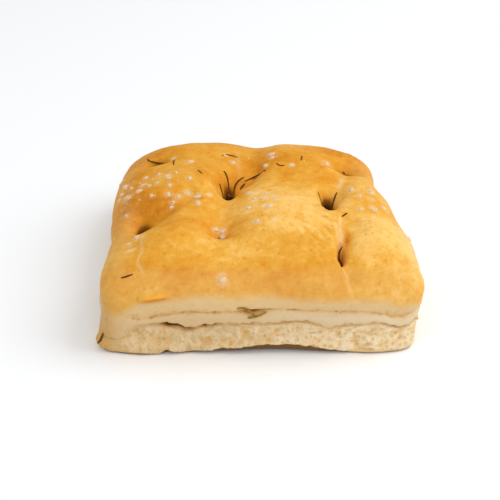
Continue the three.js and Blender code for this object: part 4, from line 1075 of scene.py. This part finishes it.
def needles(centre, outward, thick, t):
    """Strips along the curves: an oval section with a groove, tapered to both ends as part of a sine."""
    tangent = unit(np.gradient(centre, axis=1))
    side = unit(np.cross(np.broadcast_to(outward[:, None], tangent.shape), tangent))
    up = np.cross(tangent, side)
    angle = 2 * np.pi * np.arange(SIDES) / SIDES
    taper = np.sin(np.pi * (TAPER_FROM + TAPER_SPAN * t))
    scale = thick * (NEEDLE_TIP + (1 - NEEDLE_TIP) * taper)[..., None]
    wide = 0.5 * NEEDLE_WIDTH * np.cos(angle)[None, None, :, None] * scale
    groove = 1 - GROOVE_DEPTH * bump(angle, np.pi / 2, GROOVE_WIDTH)
    high = 0.5 * NEEDLE_THICKNESS * (np.sin(angle) * groove)[None, None, :, None] * scale
    return centre[:, :, None] + side[:, :, None] * wide + up[:, :, None] * high


# Each lies from its base over its middle to its tip, and spans a hollow between them
table = np.array(NEEDLES)
count = len(table)
base_point, _, _, _ = crust_at(table[:, 0], table[:, 1])
lying, lying_normal, _, _ = crust_at(table[:, 2], table[:, 3])
tip_point, _, _, _ = crust_at(table[:, 4], table[:, 5])
bridge = (base_point[:, 2] + tip_point[:, 2]) / 2
lying[:, 2] = np.maximum(lying[:, 2], (bridge + lying[:, 2]) / 2)
ends = list(zip(base_point, lying, tip_point, lying_normal))
for places in FRONT_NEEDLES:
    ends.append(wall_needle([x / HALF_WIDTH for x, _ in places], [-1.0] * 3, [level for _, level in places]))
ends.append(wall_needle(*zip(*CORNER_NEEDLE)))
start, middle, finish, outward = (np.array(column) for column in zip(*ends))
t = np.linspace(0, 1, SPANS + 1)[None, :, None]
control = 2 * middle - (start + finish) / 2
curves = (1 - t) ** 2 * start[:, None] + 2 * t * (1 - t) * control[:, None] + t**2 * finish[:, None]
ground = crust_at(curves[:count, :, 0], curves[:count, :, 1])[0]
curves[:count, :, 2] = np.maximum(curves[:count, :, 2], ground[..., 2])
thick = np.where(np.arange(len(curves)) < count, 1.0, WALL_THICKER)[:, None, None, None]

k = np.arange(SPANS)[:, None] * SIDES
i = np.arange(SIDES)[None]
n = (i + 1) % SIDES
strip_quads = np.stack([k + i, k + n, k + SIDES + n, k + SIDES + i], -1).reshape(-1, 4)
fans = np.arange(1, SIDES - 1)
strip_caps = np.concatenate([np.stack([0 * fans, fans + 1, fans], -1),
                             SPANS * SIDES + np.stack([0 * fans, fans, fans + 1], -1)])
strips = needles(curves, outward, thick, t)
rosemary = many("rosemary", strips.reshape(len(strips), -1, 3), strip_quads, strip_caps)

# The two in the front split are still soft and olive
soft = np.isin(np.arange(len(strips)), count + np.arange(len(FRONT_NEEDLES)))
paint(rosemary, "soft", np.repeat(soft.astype(float), (SPANS + 1) * SIDES))

DRIED_DARK, DRIED, DRIED_LIGHT = linear(70, 40, 8), linear(106, 66, 16), linear(146, 100, 34)
OLIVE_DARK, OLIVE = linear(118, 82, 24), linear(172, 128, 44)
dried = bpy.data.materials.new("dried_rosemary")
dried.use_nodes = True
tree = dried.node_tree
shader = tree.nodes["Principled BSDF"]
mottle = noise(tree, 500.0, 3.0)
dark = ramp(tree, mottle, (0.3, DRIED_DARK), (0.55, DRIED), (0.75, DRIED_LIGHT))
olive = ramp(tree, mottle, (0.3, OLIVE_DARK), (0.6, OLIVE))
tree.links.new(mixed(tree, read(tree, "soft"), dark, olive), shader.inputs["Base Color"])
shader.inputs["Specular IOR Level"].default_value = 0.06
tree.links.new(ranged(tree, mottle, 0.3, 0.7, 0.45, 0.7), shader.inputs["Roughness"])
rosemary.data.materials.append(dried)
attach(rosemary, "root")
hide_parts("focaccia")

# The table and the light: a white sweep with a large soft light high on the right and a weaker one
# in front, so that the loaf's shadow is faint and falls to the left.
HALF_FLOOR = 3.0                              # the sizes here are in metres
SWEEP_WHITE, LAMP_WHITE, ROOM_WHITE = linear(249, 250, 251), (0.97, 0.985, 1.0), (1.0, 1.0, 1.0, 1.0)
LAMPS = [                                     # name, place, size, watts
    ("key", (1.0, 0.0, 1.0), 1.2, 11.0),
    ("fill", (-0.1, -0.8, 1.25), 1.2, 5.6),
]
LIT_POINT = Vector((0.0, 0.0, 0.02))
ROOM_LIGHT = 0.61
floor_mesh = bpy.data.meshes.new("floor")
floor_corners = [(sx * HALF_FLOOR, sy * HALF_FLOOR, 0) for sx, sy in ((-1, -1), (1, -1), (1, 1), (-1, 1))]
floor_mesh.from_pydata(floor_corners, [], [(0, 1, 2, 3)])
floor = bpy.data.objects.new("floor", floor_mesh)
bpy.context.scene.collection.objects.link(floor)
white = bpy.data.materials.new("white_sweep")
white.use_nodes = True
shader = white.node_tree.nodes["Principled BSDF"]
shader.inputs["Base Color"].default_value = SWEEP_WHITE
shader.inputs["Roughness"].default_value = 0.9
shader.inputs["Specular IOR Level"].default_value = 0.1
floor_mesh.materials.append(white)

for name, spot_in_room, size, watts in LAMPS:
    lamp_data = bpy.data.lights.new(name, "AREA")
    lamp_data.size = size
    lamp_data.energy = watts
    lamp_data.color = LAMP_WHITE
    lamp = bpy.data.objects.new(name, lamp_data)
    lamp.location = spot_in_room
    lamp.rotation_euler = (LIT_POINT - lamp.location).to_track_quat("-Z", "Y").to_euler()
    bpy.context.scene.collection.objects.link(lamp)

world = bpy.data.worlds.new("studio")
world.use_nodes = True
world.node_tree.nodes["Background"].inputs["Color"].default_value = ROOM_WHITE
world.node_tree.nodes["Background"].inputs["Strength"].default_value = ROOM_LIGHT
bpy.context.scene.world = world
bpy.context.scene.view_settings.view_transform = "Standard"
